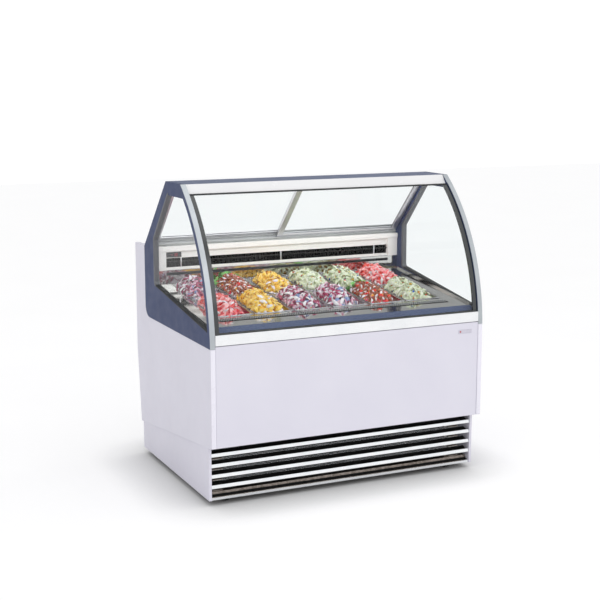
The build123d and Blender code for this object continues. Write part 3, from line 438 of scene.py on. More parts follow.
# Lavender-white laminate on the foam-filled side panels: smooth, with a soft shine.
SIDE_LAMINATE = Coating("lavender_white_laminate", "d6d4e0", "d1cfdb", 0.4, 3.0, 0.015)
# Pale ABS edging of the side panels.
EDGE_BAND = Coating("pale_abs_edging", "e6e4ee", "e1dfea", 0.3, 3.0, 0.01)
# The front sheet is the same white, powder-coated: a fine orange peel.
WHITE_POWDER = Coating("lavender_white_powder_coat", "d8d6e1", "d4d2de", 0.4, 2.4, 0.03)
# Warm white enamel on the air outlet box.
WARM_ENAMEL = Coating("warm_white_enamel", "fbf9f6", "f6f4f0", 0.3, 3.0, 0.02, 0.2)
# Slate-blue ABS mouldings of the hood's frames: satin, with a faint moulded skin.
BLUE_ABS = Coating("slate_blue_abs", "343f62", "3a466a", 0.5, 1.6, 0.015, shine=0.22)
# Slate-blue powder coat on the ledge and the canopy, lighter than the frames' blue because these parts face
# up: the coat's blue with painted light from above.
BLUE_WITH_PAINTED_TOPLIGHT = Coating("slate_blue_powder_coat", "4b5675", "515d7c", 0.48, 2.4, 0.03, shine=0.3)
# Gloss white acrylic of the canopy's front.
FASCIA_ACRYLIC = Coating("gloss_white_acrylic", "e1e1e2", "dcdcde", 0.22, 40.0, 0.02, 0.4)
# Satin anodised aluminium: fine lines along X, cool white.
ANODISED_X = Metal("satin_anodised_aluminium", "f2f3f4", "e9ebed", 0.3, (90.0, 0.8, 0.8), 0.006)
# The same aluminium on the bowed trims, whose lines run up the trim, made darker as painted shade.
TRIM_ALUMINIUM_WITH_PAINTED_SHADE = Metal("satin_anodised_trim", "b6bbbf", "aab0b5", 0.38, (0.8, 30.0, 40.0), 0.006)
# Bright anodised louvres whose blades behind the nosing are painted black: painted shade.
LOUVRE_WITH_PAINTED_SHADE = BlackedBlade("bright_anodised_louvre", "eceef0", "e0e3e6", 0.2, (120.0, 1.0, 1.0), 0.006)
# Dark anodised bar between the outlet slots.
BAR_ANODISED = Metal("dark_anodised_bar", "3c3a39", "2c2b2a", 0.3, (90.0, 0.8, 0.8), 0.006)
# Grey anodised frames of the sliding doors.
DOOR_ALUMINIUM = Metal("grey_anodised_door_frame", "e2e1e4", "d3d2d6", 0.34, (1.0, 60.0, 60.0), 0.006)
# Stainless deck: brushed along X, nearly a mirror.
DECK_STEEL = Metal("fine_brushed_stainless", "d0cfcd", "c6c5c3", 0.08, (110.0, 0.7, 0.7), 0.0012, 0.02)
# Pressed stainless pans: drawn and tumbled, with no clear grain.
PAN_STEEL = Metal("pressed_stainless", "bdbcbf", "aeadb1", 0.22, (9.0, 9.0, 9.0), 0.008, 0.05)
# Zinc-coated brackets and base frame.
ZINC = Spangle("hot_dip_galvanised_steel", "b3a9a1", "7d746d")
# Passivated zinc of the louvre clips.
CLIP_ZINC = Metal("passivated_zinc_clip", "cfc4bc", "b5aaa1", 0.42, (9.0, 9.0, 9.0), 0.01)
# Finned aluminium of the coils, brushed by the fin press.
FIN_SHEET = Metal("fin_stock_aluminium", "c9cccf", "b9bdc1", 0.35, (2.0, 2.0, 30.0), 0.01)
# Drawn copper pipe with darker heat stains.
PIPE_COPPER = Metal("drawn_copper_pipe", "c98a63", "7c4a34", 0.28, (6.0, 6.0, 6.0), 0.01)
# Bright zinc-plated screws.
SCREW_STEEL = Metal("zinc_plated_screw", "c4c6c8", "9fa2a5", 0.28, (3.0, 3.0, 3.0), 0.01)
# Black baked enamel on the back of the glass's edges.
EDGE_ENAMEL = Coating("black_ceramic_enamel", "1f2426", "262b2d", 0.16, 30.0, 0.004, 0.6)
# Extruded EPDM rubber seals.
SEAL_RUBBER = Coating("extruded_epdm_rubber", "17191b", "232527", 0.62, 1.2, 0.05)
# Grey co-extruded lip of the seals on the posts.
SEAL_GREY = Coating("grey_coextruded_rubber", "5e5f63", "696a6e", 0.55, 1.2, 0.05)
# Rubber of the feet.
FOOT_RUBBER = Coating("moulded_rubber", "161616", "222222", 0.7, 1.8, 0.08)
# Light grey on the top faces of the honeycomb's black ribs and on its rear rim: a painted highlight.
RIB_TOPS_PAINTED_HIGHLIGHT = Coating("graphite_abs", "a9aaab", "b6b7b8", 0.34, 1.4, 0.03)
# Black ABS of the grilles.
GRILLE_ABS = Coating("black_abs", "0d0e0f", "161718", 0.42, 1.4, 0.03)
# Open-cell foam of the dust filter; its near-black also stands in for the shade behind the louvres: painted
# shade.
FILTER_FOAM_AND_PAINTED_SHADE = Coating("reticulated_black_foam", "060606", "0c0c0c", 0.9, 2.0, 0.8)
# Matt black of the vanes behind the outlet's slots and of the plate that closes them, which stands in for the
# shade inside the box: painted shade.
VANE_BLACK_AND_PAINTED_SHADE = Coating("matt_black_vane", "040404", "070707", 0.85, 1.4, 0.02, shine=0.08)
# Fan blades and shrouds: glass-filled nylon.
FAN_NYLON = Coating("black_glass_filled_nylon", "151517", "202023", 0.5, 1.0, 0.05)
# Stoved black paint on the compressor's shell.
COMPRESSOR_PAINT = Coating("stoved_black_paint", "101112", "1b1c1e", 0.26, 6.0, 0.06, 0.3)
# Grey PVC door tracks.
TRACK_PVC = Coating("grey_pvc_track", "a7a9aa", "b7b9b9", 0.3, 2.0, 0.02)
# Grey moulded control box.
CONTROL_ABS = Coating("grey_abs_housing", "aeb1b5", "a3a6aa", 0.45, 1.2, 0.05)
# Smoked bezel of the display.
BEZEL = Coating("smoked_acrylic_bezel", "14151a", "1b1c22", 0.12, 30.0, 0.004, 0.7)
# Red rocker of the switch.
SWITCH_RED = Coating("red_polycarbonate", "b01a12", "9c150e", 0.2, 3.0, 0.01, 0.6)
# Diffuser of the LED strip, and the digits.
LED_DIFFUSER = Glow("opal_led_diffuser", "ffffff", 9.0)
DIGIT_RED = Glow("red_led_digit", "a81c30", 0.5)
# Plain enamelled badge and its rim.
BADGE_ENAMEL = Coating("pearl_enamel_badge", "c9c6d2", "c2bfcc", 0.3, 6.0, 0.01, 0.3)
BADGE_MARK = Coating("red_enamel_mark", "b4454a", "a83a40", 0.3, 6.0, 0.01, 0.4)
# Pale studio floor, with a painted contact shadow near the cabinet.
STUDIO_FLOOR = Backdrop("pale_studio_floor", "c9c9ca", "c7c7c8")


# --------------------------------------------------------------------------------------- meshes and pieces


def to_mesh(bm: bmesh.types.BMesh, name: str, smooth_deg: float = SMOOTH_DEG) -> bpy.types.Mesh:
    """Closes a bmesh into a mesh with outward faces.

    Args:
        bm: The shape, in metres. It is freed.
        name: The mesh's name.
        smooth_deg: Edges that turn by less are smooth.

    Returns:
        The mesh.
    """
    bmesh.ops.recalc_face_normals(bm, faces=bm.faces)
    mesh = bpy.data.meshes.new(name)
    bm.to_mesh(mesh)
    bm.free()
    mesh.shade_smooth()
    mesh.set_sharp_from_angle(angle=math.radians(smooth_deg))
    return mesh


def piece(name: str, mesh: bpy.types.Mesh, finish: Finish | None, body: str = CABINET,
          replaces: tuple[str, ...] = (), bevel_mm: float = 0.0) -> bpy.types.Object:
    """Puts a mesh in the scene as one piece of the cabinet.

    Args:
        name: The piece's name.
        mesh: Its mesh, in place.
        finish: Its finish, or None where the mesh brings its own materials.
        body: The CAD body that it rides on.
        replaces: CAD nodes that it stands for.
        bevel_mm: Width of the rounding of its edges, or 0 for none.

    Returns:
        The object.
    """
    obj = bpy.data.objects.new(name, mesh)
    bpy.context.scene.collection.objects.link(obj)
    if finish:
        mesh.materials.clear()
        mesh.materials.append(finish.material())
    if bevel_mm:
        bevel = obj.modifiers.new("edge_rounding", "BEVEL")
        bevel.width, bevel.segments = bevel_mm * MM, 2
        bevel.limit_method, bevel.angle_limit = "ANGLE", math.radians(SMOOTH_DEG)
        bevel.harden_normals = True
    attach(obj, body)
    if replaces:
        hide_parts(*replaces)
    log.info("%s: %d faces on %s", name, len(mesh.polygons), body)
    return obj


def dress(node: str, finish: Finish) -> None:
    """Gives a CAD node, which stays as it is, its finish."""
    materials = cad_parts[node].data.materials
    materials.clear()
    materials.append(finish.material())
    log.info("%s keeps its CAD mesh, in %s", node, finish.name)


def rounded_copy(node: str, finish: Finish, body: str = CABINET, bevel_mm: float = 0.8) -> None:
    """Replaces a CAD node by a joined copy of itself with rounded edges.

    Args:
        node: The CAD node.
        finish: The finish of the copy.
        body: The body that the node is on.
        bevel_mm: Width of the rounding.
    """
    bm = bmesh.new()
    bm.from_mesh(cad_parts[node].data)
    bmesh.ops.remove_doubles(bm, verts=bm.verts, dist=0.01 * MM)
    bmesh.ops.dissolve_limit(bm, angle_limit=math.radians(0.4), verts=bm.verts, edges=bm.edges)
    mesh = bpy.data.meshes.new(node + "_shape")
    bm.to_mesh(mesh)
    bm.free()
    if "custom_normal" in mesh.attributes:
        mesh.attributes.remove(mesh.attributes["custom_normal"])
    mesh.shade_smooth()
    mesh.set_sharp_from_angle(angle=math.radians(SMOOTH_DEG))
    piece(node + "_rounded", mesh, finish, body, (node,), bevel_mm)


def block(lo: tuple[float, float, float], hi: tuple[float, float, float],
          bevel_mm: float = 0.0) -> bmesh.types.BMesh:
    """A box from corner to corner, in millimetres, with its edges rounded.

    Args:
        lo: Lowest corner.
        hi: Highest corner.
        bevel_mm: Radius of the edges.

    Returns:
        The shape, in metres.
    """
    bm = bmesh.new()
    middle = (Vector(lo) + Vector(hi)) / 2
    size = Vector(hi) - Vector(lo)
    bmesh.ops.create_cube(bm, size=1.0,
                          matrix=Matrix.Translation(middle * MM) @ Matrix.Diagonal((size * MM).to_4d()))
    if bevel_mm:
        bmesh.ops.bevel(bm, geom=bm.edges, offset=bevel_mm * MM, segments=3, profile=0.5, affect="EDGES")
    return bm


def prism(outline: Profile, x0: float, x1: float) -> bmesh.types.BMesh:
    """A bar along X.

    Args:
        outline: (y, z) points of its section, in millimetres.
        x0: Its left end.
        x1: Its right end.

    Returns:
        The shape, in metres.
    """
    bm = bmesh.new()
    rings = [[bm.verts.new(Vector((x, y, z)) * MM) for y, z in outline] for x in (x0, x1)]
    bm.faces.new(rings[0])
    bm.faces.new(rings[1])
    for i in range(len(outline)):
        j = (i + 1) % len(outline)
        bm.faces.new((rings[0][i], rings[0][j], rings[1][j], rings[1][i]))
    return bm


def sweep(path: Profile, section: Profile, closed: bool) -> bmesh.types.BMesh:
    """A strip whose section follows a path in a plane of constant X, with mitred corners.

    Args:
        path: (y, z) points, in millimetres.
        section: (x, n) points, where n is the distance to the left of the path.
        closed: Whether the path comes back to its start.

    Returns:
        The shape, in metres.
    """
    bm = bmesh.new()
    points = [Vector(p) for p in path]
    count = len(points)
    rings = []
    for i, point in enumerate(points):
        before = points[i - 1] if closed or i else point * 2 - points[1]
        after = points[(i + 1) % count] if closed or i < count - 1 else point * 2 - points[-2]
        normals = [Vector((-d.y, d.x)).normalized() for d in (point - before, after - point)]
        mitre = (normals[0] + normals[1]).normalized()
        mitre /= max(mitre.dot(normals[0]), 0.3)
        rings.append([bm.verts.new(Vector((x, point.x + mitre.x * n, point.y + mitre.y * n)) * MM)
                      for x, n in section])
    for i in range(count if closed else count - 1):
        ring, other = rings[i], rings[(i + 1) % count]
        for j in range(len(section)):
            k = (j + 1) % len(section)
            bm.faces.new((ring[j], ring[k], other[k], other[j]))
    if not closed:
        bm.faces.new(rings[0])
        bm.faces.new(rings[-1])
    return bm


def lathe(profile: Profile, centre: tuple[float, float, float], turn: Euler,
          steps: int = 32) -> bmesh.types.BMesh:
    """A turned shape.

    Args:
        profile: (radius, height) points from axis to axis, in millimetres.
        centre: The foot of its axis.
        turn: How its axis, +Z at first, is turned.
        steps: Facets around.

    Returns:
        The shape, in metres.
    """
    bm = bmesh.new()
    rings = []
    for radius, height in profile:
        around = steps if radius > 0 else 1
        rings.append([bm.verts.new(Vector((radius * math.cos(math.tau * k / around),
                                           radius * math.sin(math.tau * k / around), height)) * MM)
                      for k in range(around)])
    for low, high in zip(rings, rings[1:]):
        for k in range(steps):
            corners = [low[k % len(low)], low[(k + 1) % len(low)], high[(k + 1) % len(high)],
                       high[k % len(high)]]
            bm.faces.new(list(dict.fromkeys(corners)))
    bm.transform(Matrix.Translation(Vector(centre) * MM) @ turn.to_matrix().to_4x4())
    return bm


def merged(parts: list[bmesh.types.BMesh], name: str) -> bpy.types.Mesh:
    """Joins shapes, which are freed, into one mesh."""
    whole = bmesh.new()
    for part in parts:
        bmesh.ops.recalc_face_normals(part, faces=part.faces)
        loose = bpy.data.meshes.new("loose")
        part.to_mesh(loose)
        part.free()
        whole.from_mesh(loose)
        bpy.data.meshes.remove(loose)
    return to_mesh(whole, name)


def gathered(meshes: list[bpy.types.Mesh]) -> bmesh.types.BMesh:
    """All meshes in one shape."""
    whole = bmesh.new()
    for mesh in meshes:
        whole.from_mesh(mesh)
    return whole


def arc(centre: tuple[float, float], radius: float, start: float, end: float, steps: int) -> Profile:
    """Points on an arc, from angle start to end in degrees."""
    angles = [math.radians(start + (end - start) * i / steps) for i in range(steps + 1)]
    return [(centre[0] + radius * math.cos(a), centre[1] + radius * math.sin(a)) for a in angles]


def rounded_corner(before: tuple[float, float], corner: tuple[float, float], after: tuple[float, float],
                   radius: float, steps: int = 5) -> Profile:
    """Points of the arc that rounds a corner between two straight sides.

    Args:
        before: A point on the side that comes in.
        corner: The sharp corner.
        after: A point on the side that goes out.
        radius: The arc's radius.
        steps: Segments of the arc.

    Returns:
        The arc's points.
    """
    here = Vector(corner)
    into, out = (Vector(before) - here).normalized(), (Vector(after) - here).normalized()
    half = into.angle(out) / 2
    start, end = here + into * radius / math.tan(half), here + out * radius / math.tan(half)
    centre = here + (into + out).normalized() * radius / math.sin(half)
    turn = (start - centre).angle_signed(end - centre)
    points = []
    for i in range(steps + 1):
        spoke = (start - centre).copy()
        spoke.rotate(Matrix.Rotation(-turn * i / steps, 2))
        points.append(tuple(centre + spoke))
    return points


# ------------------------------------------------------------------------------------------ geometry nodes


def new_tree(name: str, inputs: dict[str, str]) -> tuple[bpy.types.NodeTree, bpy.types.Node]:
    """Starts a geometry tree.

    Args:
        name: The tree's name.
        inputs: Input name to socket type.

    Returns:
        The tree and its group input node.
    """
    tree = bpy.data.node_groups.new(name, "GeometryNodeTree")
    tree.is_modifier = True
    tree.interface.new_socket("Geometry", in_out="INPUT", socket_type="NodeSocketGeometry")
    for label, kind in inputs.items():
        tree.interface.new_socket(label, in_out="INPUT", socket_type="NodeSocket" + kind)
    tree.interface.new_socket("Geometry", in_out="OUTPUT", socket_type="NodeSocketGeometry")
    return tree, add(tree, "NodeGroupInput")


def end_tree(tree: bpy.types.NodeTree, given: bpy.types.Node, instances: Socket) -> bpy.types.NodeTree:
    """Ends a geometry tree with Realize Instances and Set Material.

    Args:
        tree: The tree.
        given: Its group input node, with an input named Finish.
        instances: The socket with the instances.

    Returns:
        The tree.
    """
    real = add(tree, "GeometryNodeRealizeInstances", {"Geometry": instances}).outputs["Geometry"]
    dressed = add(tree, "GeometryNodeSetMaterial", {"Geometry": real, "Material": given.outputs["Finish"]})
    add(tree, "NodeGroupOutput", {"Geometry": dressed.outputs["Geometry"]})
    return tree


def array_tree() -> bpy.types.NodeTree:
    """A tree that repeats a piece in rows and columns, with every other row shifted by Stagger columns.

    Returns:
        The tree.
    """
    tree, given = new_tree("repeat_in_rows", {
        "Piece": "Object", "Columns": "Int", "Rows": "Int", "Start": "Vector", "Column Step": "Vector",
        "Row Step": "Vector", "Stagger": "Float", "Finish": "Material"})
    i = add(tree, "GeometryNodeInputIndex").outputs["Index"]
    total = add(tree, "ShaderNodeMath", {0: given.outputs["Columns"], 1: given.outputs["Rows"]},
                operation="MULTIPLY")
    row = add(tree, "ShaderNodeMath", {0: i, 1: given.outputs["Columns"]}, operation="DIVIDE")
    row = add(tree, "ShaderNodeMath", {0: row.outputs["Value"]}, operation="FLOOR").outputs["Value"]
    column = add(tree, "ShaderNodeMath", {0: i, 1: given.outputs["Columns"]},
                 operation="MODULO").outputs["Value"]
    odd = add(tree, "ShaderNodeMath", {0: row, 1: 2.0}, operation="MODULO").outputs["Value"]
    shift = add(tree, "ShaderNodeMath", {0: odd, 1: given.outputs["Stagger"], 2: column},
                operation="MULTIPLY_ADD")
    place = given.outputs["Start"]
    for step, times in (("Column Step", shift.outputs["Value"]), ("Row Step", row)):
        move = add(tree, "ShaderNodeVectorMath", {0: given.outputs[step], "Scale": times}, operation="SCALE")
        place = add(tree, "ShaderNodeVectorMath", {0: place, 1: move.outputs["Vector"]}, operation="ADD")
        place = place.outputs["Vector"]
    points = add(tree, "GeometryNodePoints", {"Count": total.outputs["Value"], "Position": place})
    shape = add(tree, "GeometryNodeObjectInfo", {"Object": given.outputs["Piece"]}).outputs["Geometry"]
    copies = add(tree, "GeometryNodeInstanceOnPoints", {"Points": points.outputs[0], "Instance": shape})
    return end_tree(tree, given, copies.outputs["Instances"])


def scatter_tree() -> bpy.types.NodeTree:
    """A tree that strews a piece over a surface where its attribute "room" is high, leaning at random.

    Returns:
        The tree.
    """
    tree, given = new_tree("strew_over_surface", {
        "Piece": "Object", "Spacing": "Float", "Most": "Float", "Smallest": "Float", "Largest": "Float",
        "Lean": "Float", "Sink": "Float", "Seed": "Int", "Zone": "String", "Finish": "Material"})
    room = add(tree, "GeometryNodeInputNamedAttribute", {"Name": given.outputs["Zone"]}, data_type="FLOAT")
    cover = add(tree, "GeometryNodeDistributePointsOnFaces", {
        "Mesh": given.outputs["Geometry"], "Distance Min": given.outputs["Spacing"],
        "Density Max": given.outputs["Most"], "Density Factor": room.outputs["Attribute"],
        "Seed": given.outputs["Seed"]}, distribute_method="POISSON")
    down = add(tree, "ShaderNodeMath", {0: given.outputs["Sink"], 1: -1.0},
               operation="MULTIPLY").outputs["Value"]
    offset = add(tree, "ShaderNodeVectorMath", {0: cover.outputs["Normal"], "Scale": down}, operation="SCALE")
    sunk = add(tree, "GeometryNodeSetPosition", {"Geometry": cover.outputs["Points"],
                                                 "Offset": offset.outputs["Vector"]})
    size = add(tree, "FunctionNodeRandomValue", {2: given.outputs["Smallest"], 3: given.outputs["Largest"],
                                                 "Seed": given.outputs["Seed"]}, data_type="FLOAT")
    shape = add(tree, "GeometryNodeObjectInfo", {"Object": given.outputs["Piece"]}).outputs["Geometry"]
    copies = add(tree, "GeometryNodeInstanceOnPoints", {
        "Points": sunk.outputs["Geometry"], "Instance": shape, "Rotation": cover.outputs["Rotation"],
        "Scale": size.outputs[1]})
    back = add(tree, "ShaderNodeMath", {0: given.outputs["Lean"], 1: -1.0},
               operation="MULTIPLY").outputs["Value"]
    low = add(tree, "ShaderNodeCombineXYZ", {"X": back, "Y": back, "Z": -math.pi}).outputs["Vector"]
    high = add(tree, "ShaderNodeCombineXYZ",
               {"X": given.outputs["Lean"], "Y": given.outputs["Lean"], "Z": math.pi})
    lean = add(tree, "FunctionNodeRandomValue",
               {0: low, 1: high.outputs["Vector"], "Seed": given.outputs["Seed"]},
               data_type="FLOAT_VECTOR")
    turned = add(tree, "GeometryNodeRotateInstances", {"Instances": copies.outputs["Instances"],
                                                       "Rotation": lean.outputs[0]})
    return end_tree(tree, given, turned.outputs["Instances"])


def grow(tree: bpy.types.NodeTree, shape: bpy.types.Mesh, values: dict[str, object],
         host: bpy.types.Mesh | None = None) -> bpy.types.Mesh:
    """Runs a geometry tree once and keeps its result as a plain mesh.

    Args:
        tree: The geometry tree.
        shape: The piece that it repeats.
        values: Input name to value.
        host: The mesh that the tree starts from, if it needs one.

    Returns:
        The result.
    """
    pattern = bpy.data.objects.new("pattern", shape)
    obj = bpy.data.objects.new("host", host or bpy.data.meshes.new("nothing"))
    bpy.context.scene.collection.objects.link(obj)
    modifier = obj.modifiers.new("grow", "NODES")
    modifier.node_group = tree
    values = {"Piece": pattern, **values}
    for item in tree.interface.items_tree:
        if item.name in values and item.in_out == "INPUT":
            modifier[item.identifier] = values[item.name]
    graph = bpy.context.evaluated_depsgraph_get()
    mesh = bpy.data.meshes.new_from_object(obj.evaluated_get(graph), preserve_all_data_layers=True,
                                           depsgraph=graph)
    obj.modifiers.clear()
    bpy.data.objects.remove(obj)
    bpy.data.objects.remove(pattern)
    return mesh


@dataclass
class Repeater:
    """Makes rows of one small shape, such as screws, slots, fins and cells."""

    tree: bpy.types.NodeTree = field(default_factory=array_tree)

    def rows(self, shape: bmesh.types.BMesh, finish: Finish, start: tuple, columns: int, column_step: tuple,
             rows: int = 1, row_step: tuple = (0, 0, 0), stagger: float = 0.0) -> bpy.types.Mesh:
        """Repeats a shape.

        Args:
            shape: The shape at the origin. It is freed.
            finish: The finish of all copies.
            start: Place of the first copy, in millimetres, as are the steps.
            columns: Copies in a row.
            column_step: From one copy to the next.
            rows: Number of rows.
            row_step: From one row to the next.
            stagger: Share of a column step by which every other row is shifted.

        Returns:
            The mesh with all copies.
        """
        return grow(self.tree, to_mesh(shape, "cell"), {
            "Columns": columns, "Rows": rows, "Start": Vector(start) * MM,
            "Column Step": Vector(column_step) * MM,
            "Row Step": Vector(row_step) * MM, "Stagger": stagger, "Finish": finish.material()})


def screw(turn: Euler, radius: float = 4.0) -> bmesh.types.BMesh:
    """A pan head with a round socket, looking along the turned +Z.

    Args:
        turn: How +Z is turned.
        radius: The head's radius, in millimetres.

    Returns:
        The shape at the origin.
    """
    head = [(0.0, -0.5), (radius, -0.5), (radius, 0.6), (radius * 0.85, 1.6), (radius * 0.5, 2.2),
            (radius * 0.45, 2.2), (radius * 0.4, 0.8), (0.0, 0.7)]
    return lathe(head, (0, 0, 0), turn, 12)


# --------------------------------------------------------------------------------------------- the cabinet


@dataclass
class Studio:
    """Camera, lights and floor, in metres. The sky is dimmer to the left and the rear."""

    eye: tuple[float, float, float] = (-2.3017, -4.8601, 1.6929)
    pitch_deg: float = 90 - 10.189
    yaw_deg: float = -25.116
    lens_mm: float = 74.96
    floor_size: float = 30.0
    sky: float = 1.1
    left_sky: float = 0.82
    rear_sky: float = 0.4
    lamps: tuple = (("key", (0.6, -4.6, 3.4), (0.0, 0.0, 0.8), (2.5, 2.5), 14.0),
                    ("top", (0.0, -0.6, 4.0), (0.0, 0.0, 0.0), (3.0, 3.0), 14.0),
                    ("canopy_strip", (0.0, -0.06, 1.2), (0.0, 0.25, 0.88), (1.1, 0.03), 1.35))

    def camera(self) -> None:
        """Sets up the camera."""
        data = bpy.data.cameras.new("camera")
        data.lens, data.sensor_width = self.lens_mm, 36.0
        data.clip_end = 100.0
        camera = bpy.data.objects.new("camera", data)
        camera.location = self.eye
        camera.rotation_euler = Euler((math.radians(self.pitch_deg), 0.0, math.radians(self.yaw_deg)))
        bpy.context.scene.collection.objects.link(camera)
        bpy.context.scene.camera = camera

    def lamp(self, name: str, place: tuple, aim: tuple, size: tuple, power: float) -> None:
        """Hangs a soft box.

        Args:
            name: Its name.
            place: Where it hangs, in metres.
            aim: The point that it faces.
            size: Its sides, in metres.
            power: Its power, in watts.
        """
        data = bpy.data.lights.new(name, "AREA")
        data.shape, data.size, data.size_y, data.energy = "RECTANGLE", *size, power
        lamp = bpy.data.objects.new(name, data)
        lamp.location = place
        lamp.visible_camera = False
        lamp.rotation_euler = (Vector(aim) - Vector(place)).to_track_quat("-Z", "Y").to_euler()
        bpy.context.scene.collection.objects.link(lamp)

    def build(self) -> None:
        """Sets up camera, world, lamps and floor."""
        self.camera()
        bpy.context.scene.view_settings.view_transform = "Standard"
        world = bpy.data.worlds.new("studio_sky")
        world.use_nodes = True
        tree = world.node_tree
        way = add(tree, "ShaderNodeSeparateXYZ",
                  {"Vector": add(tree, "ShaderNodeTexCoord").outputs["Generated"]})
        left = add(tree, "ShaderNodeMapRange", {"Value": way.outputs["X"], "From Min": -0.9, "From Max": -0.1,
                                                "To Min": self.left_sky * self.sky,
                                                "To Max": self.sky}).outputs["Result"]
        high = add(tree, "ShaderNodeMapRange", {"Value": way.outputs["Z"], "From Min": 0.16, "From Max": 0.34,
                                                "To Min": 1.0, "To Max": 0.0}).outputs["Result"]
        back = add(tree, "ShaderNodeMapRange", {"Value": way.outputs["Y"], "From Min": 0.1, "From Max": 0.6,
                                                "To Min": 1.0, "To Max": 0.0}).outputs["Result"]
        open_sky = add(tree, "ShaderNodeMath", {0: high, 1: back}, operation="MAXIMUM").outputs["Value"]
        rear = add(tree, "ShaderNodeMapRange", {"Value": open_sky, "To Min": self.rear_sky, "To Max": 1.0})
        level = add(tree, "ShaderNodeMath", {0: left, 1: rear.outputs["Result"]}, operation="MULTIPLY")
        tree.links.new(level.outputs["Value"], tree.nodes["Background"].inputs["Strength"])
        tree.nodes["Background"].inputs["Color"].default_value = (1.0, 1.0, 1.0, 1.0)
        bpy.context.scene.world = world
        for lamp in self.lamps:
            self.lamp(*lamp)
        bm = bmesh.new()
        bmesh.ops.create_grid(bm, x_segments=8, y_segments=8, size=self.floor_size / 2)
        floor = bpy.data.objects.new("studio_floor", to_mesh(bm, "studio_floor"))
        floor.data.materials.append(STUDIO_FLOOR.material())
        bpy.context.scene.collection.objects.link(floor)


@dataclass
class Hood:
    """The shape that the side frames, the trims and the front glass share."""

    centre: tuple[float, float] = (356.0, 626.0)
    glass_outer: float = 808.0
    glass_inner: float = 802.0
    opening: float = 789.0
    glass_low: float = 703.0
    glass_high: float = 1222.0
    opening_corners: tuple = ((196.0, 812.0), (197.0, 1006.0), (7.0, 1210.0))
    opening_low: float = 721.0
    opening_high: float = 1210.0
    opening_round: float = 16.0
    inner_x: float = 599.0
    outer_x: float = 620.0

    def angle(self, radius: float, z: float) -> float:
        """Angle in degrees of the point on the bow's front at height z."""
        return 180.0 - math.degrees(math.asin((z - self.centre[1]) / radius))

    def bow(self, radius: float, low: float, high: float, steps: int = 48) -> Profile:
        """Points on the bow, from low to high z."""
        return arc(self.centre, radius, self.angle(radius, low), self.angle(radius, high), steps)

    def opening_edges(self) -> tuple[Profile, Profile]:
        """The sill and the rear edge of a side glass's opening, with the opening on the left of each."""
        low = self.bow(self.opening, self.opening_low, self.opening_high)
        foot, knee, top = self.opening_corners
        sill = [low[0], foot]
        turn = rounded_corner(low[0], foot, knee, self.opening_round)
        bend = rounded_corner(foot, knee, top, self.opening_round)
        peak = rounded_corner(knee, top, low[-1], self.opening_round)
        return [sill[0], turn[0]], turn + bend + peak


@dataclass
class Shell:
    """Side panels, front panel, plinth and the band above the front panel."""

    badge_centre: tuple[float, float] = (534.0, 625.0)
    badge_size: tuple[float, float] = (66.0, 17.0)
    badge_y: float = -458.5
    front_y: float = -460.0
    edge_x: tuple[float, float] = (599.0, 620.0)
    edge_z: tuple[float, float] = (254.0, 652.0)

    def badge(self) -> None:
        """A plain enamelled plate with a small diamond on it."""
        (x, z), (w, h) = self.badge_centre, self.badge_size
        plate = block((x - w / 2, self.badge_y - 1.2, z - h / 2),
                      (x + w / 2, self.badge_y + 0.5, z + h / 2), 0.5)
        piece("badge_plate", to_mesh(plate, "badge_plate"), BADGE_ENAMEL)
        mark = bmesh.new()
        bmesh.ops.create_cone(mark, segments=4, radius1=5.0 * MM, radius2=4.0 * MM, depth=1.0 * MM,
                              cap_ends=True)
        mark.transform(Matrix.Translation(Vector((x - w / 2 + 10, self.badge_y - 1.5, z)) * MM)
                       @ Euler((math.pi / 2, 0, 0)).to_matrix().to_4x4())
        piece("badge_diamond", to_mesh(mark, "badge_diamond"), BADGE_MARK)

    def edge_bands(self) -> None:
        """Pale ABS edging on the front edge of each side panel."""
        for side in Side:
            x0, x1 = sorted((side.value * (self.edge_x[0] + 0.8), side.value * (self.edge_x[1] - 0.8)))
            band = block((x0, self.front_y - 0.7, self.edge_z[0] + 1.6),
                         (x1, self.front_y + 0.3, self.edge_z[1] - 1.6),
                         0.4)
            piece(side.word + "_edge_band", to_mesh(band, "edge_band"), EDGE_BAND)

    def build(self) -> None:
        """Dresses the panels and adds the edge bands and the badge."""
        for side in Side:
            rounded_copy(side.word + "_side_panel", SIDE_LAMINATE, bevel_mm=1.5)
        rounded_copy("front_panel", WHITE_POWDER, bevel_mm=0.6)
        rounded_copy("plinth_panels", SIDE_LAMINATE, bevel_mm=1.0)
        rounded_copy("front_band", ANODISED_X, bevel_mm=0.8)
        # The ledge's lighter blue is partly painted light from above.
        rounded_copy("front_ledge", BLUE_WITH_PAINTED_TOPLIGHT, bevel_mm=0.6)
        self.edge_bands()
        self.badge()


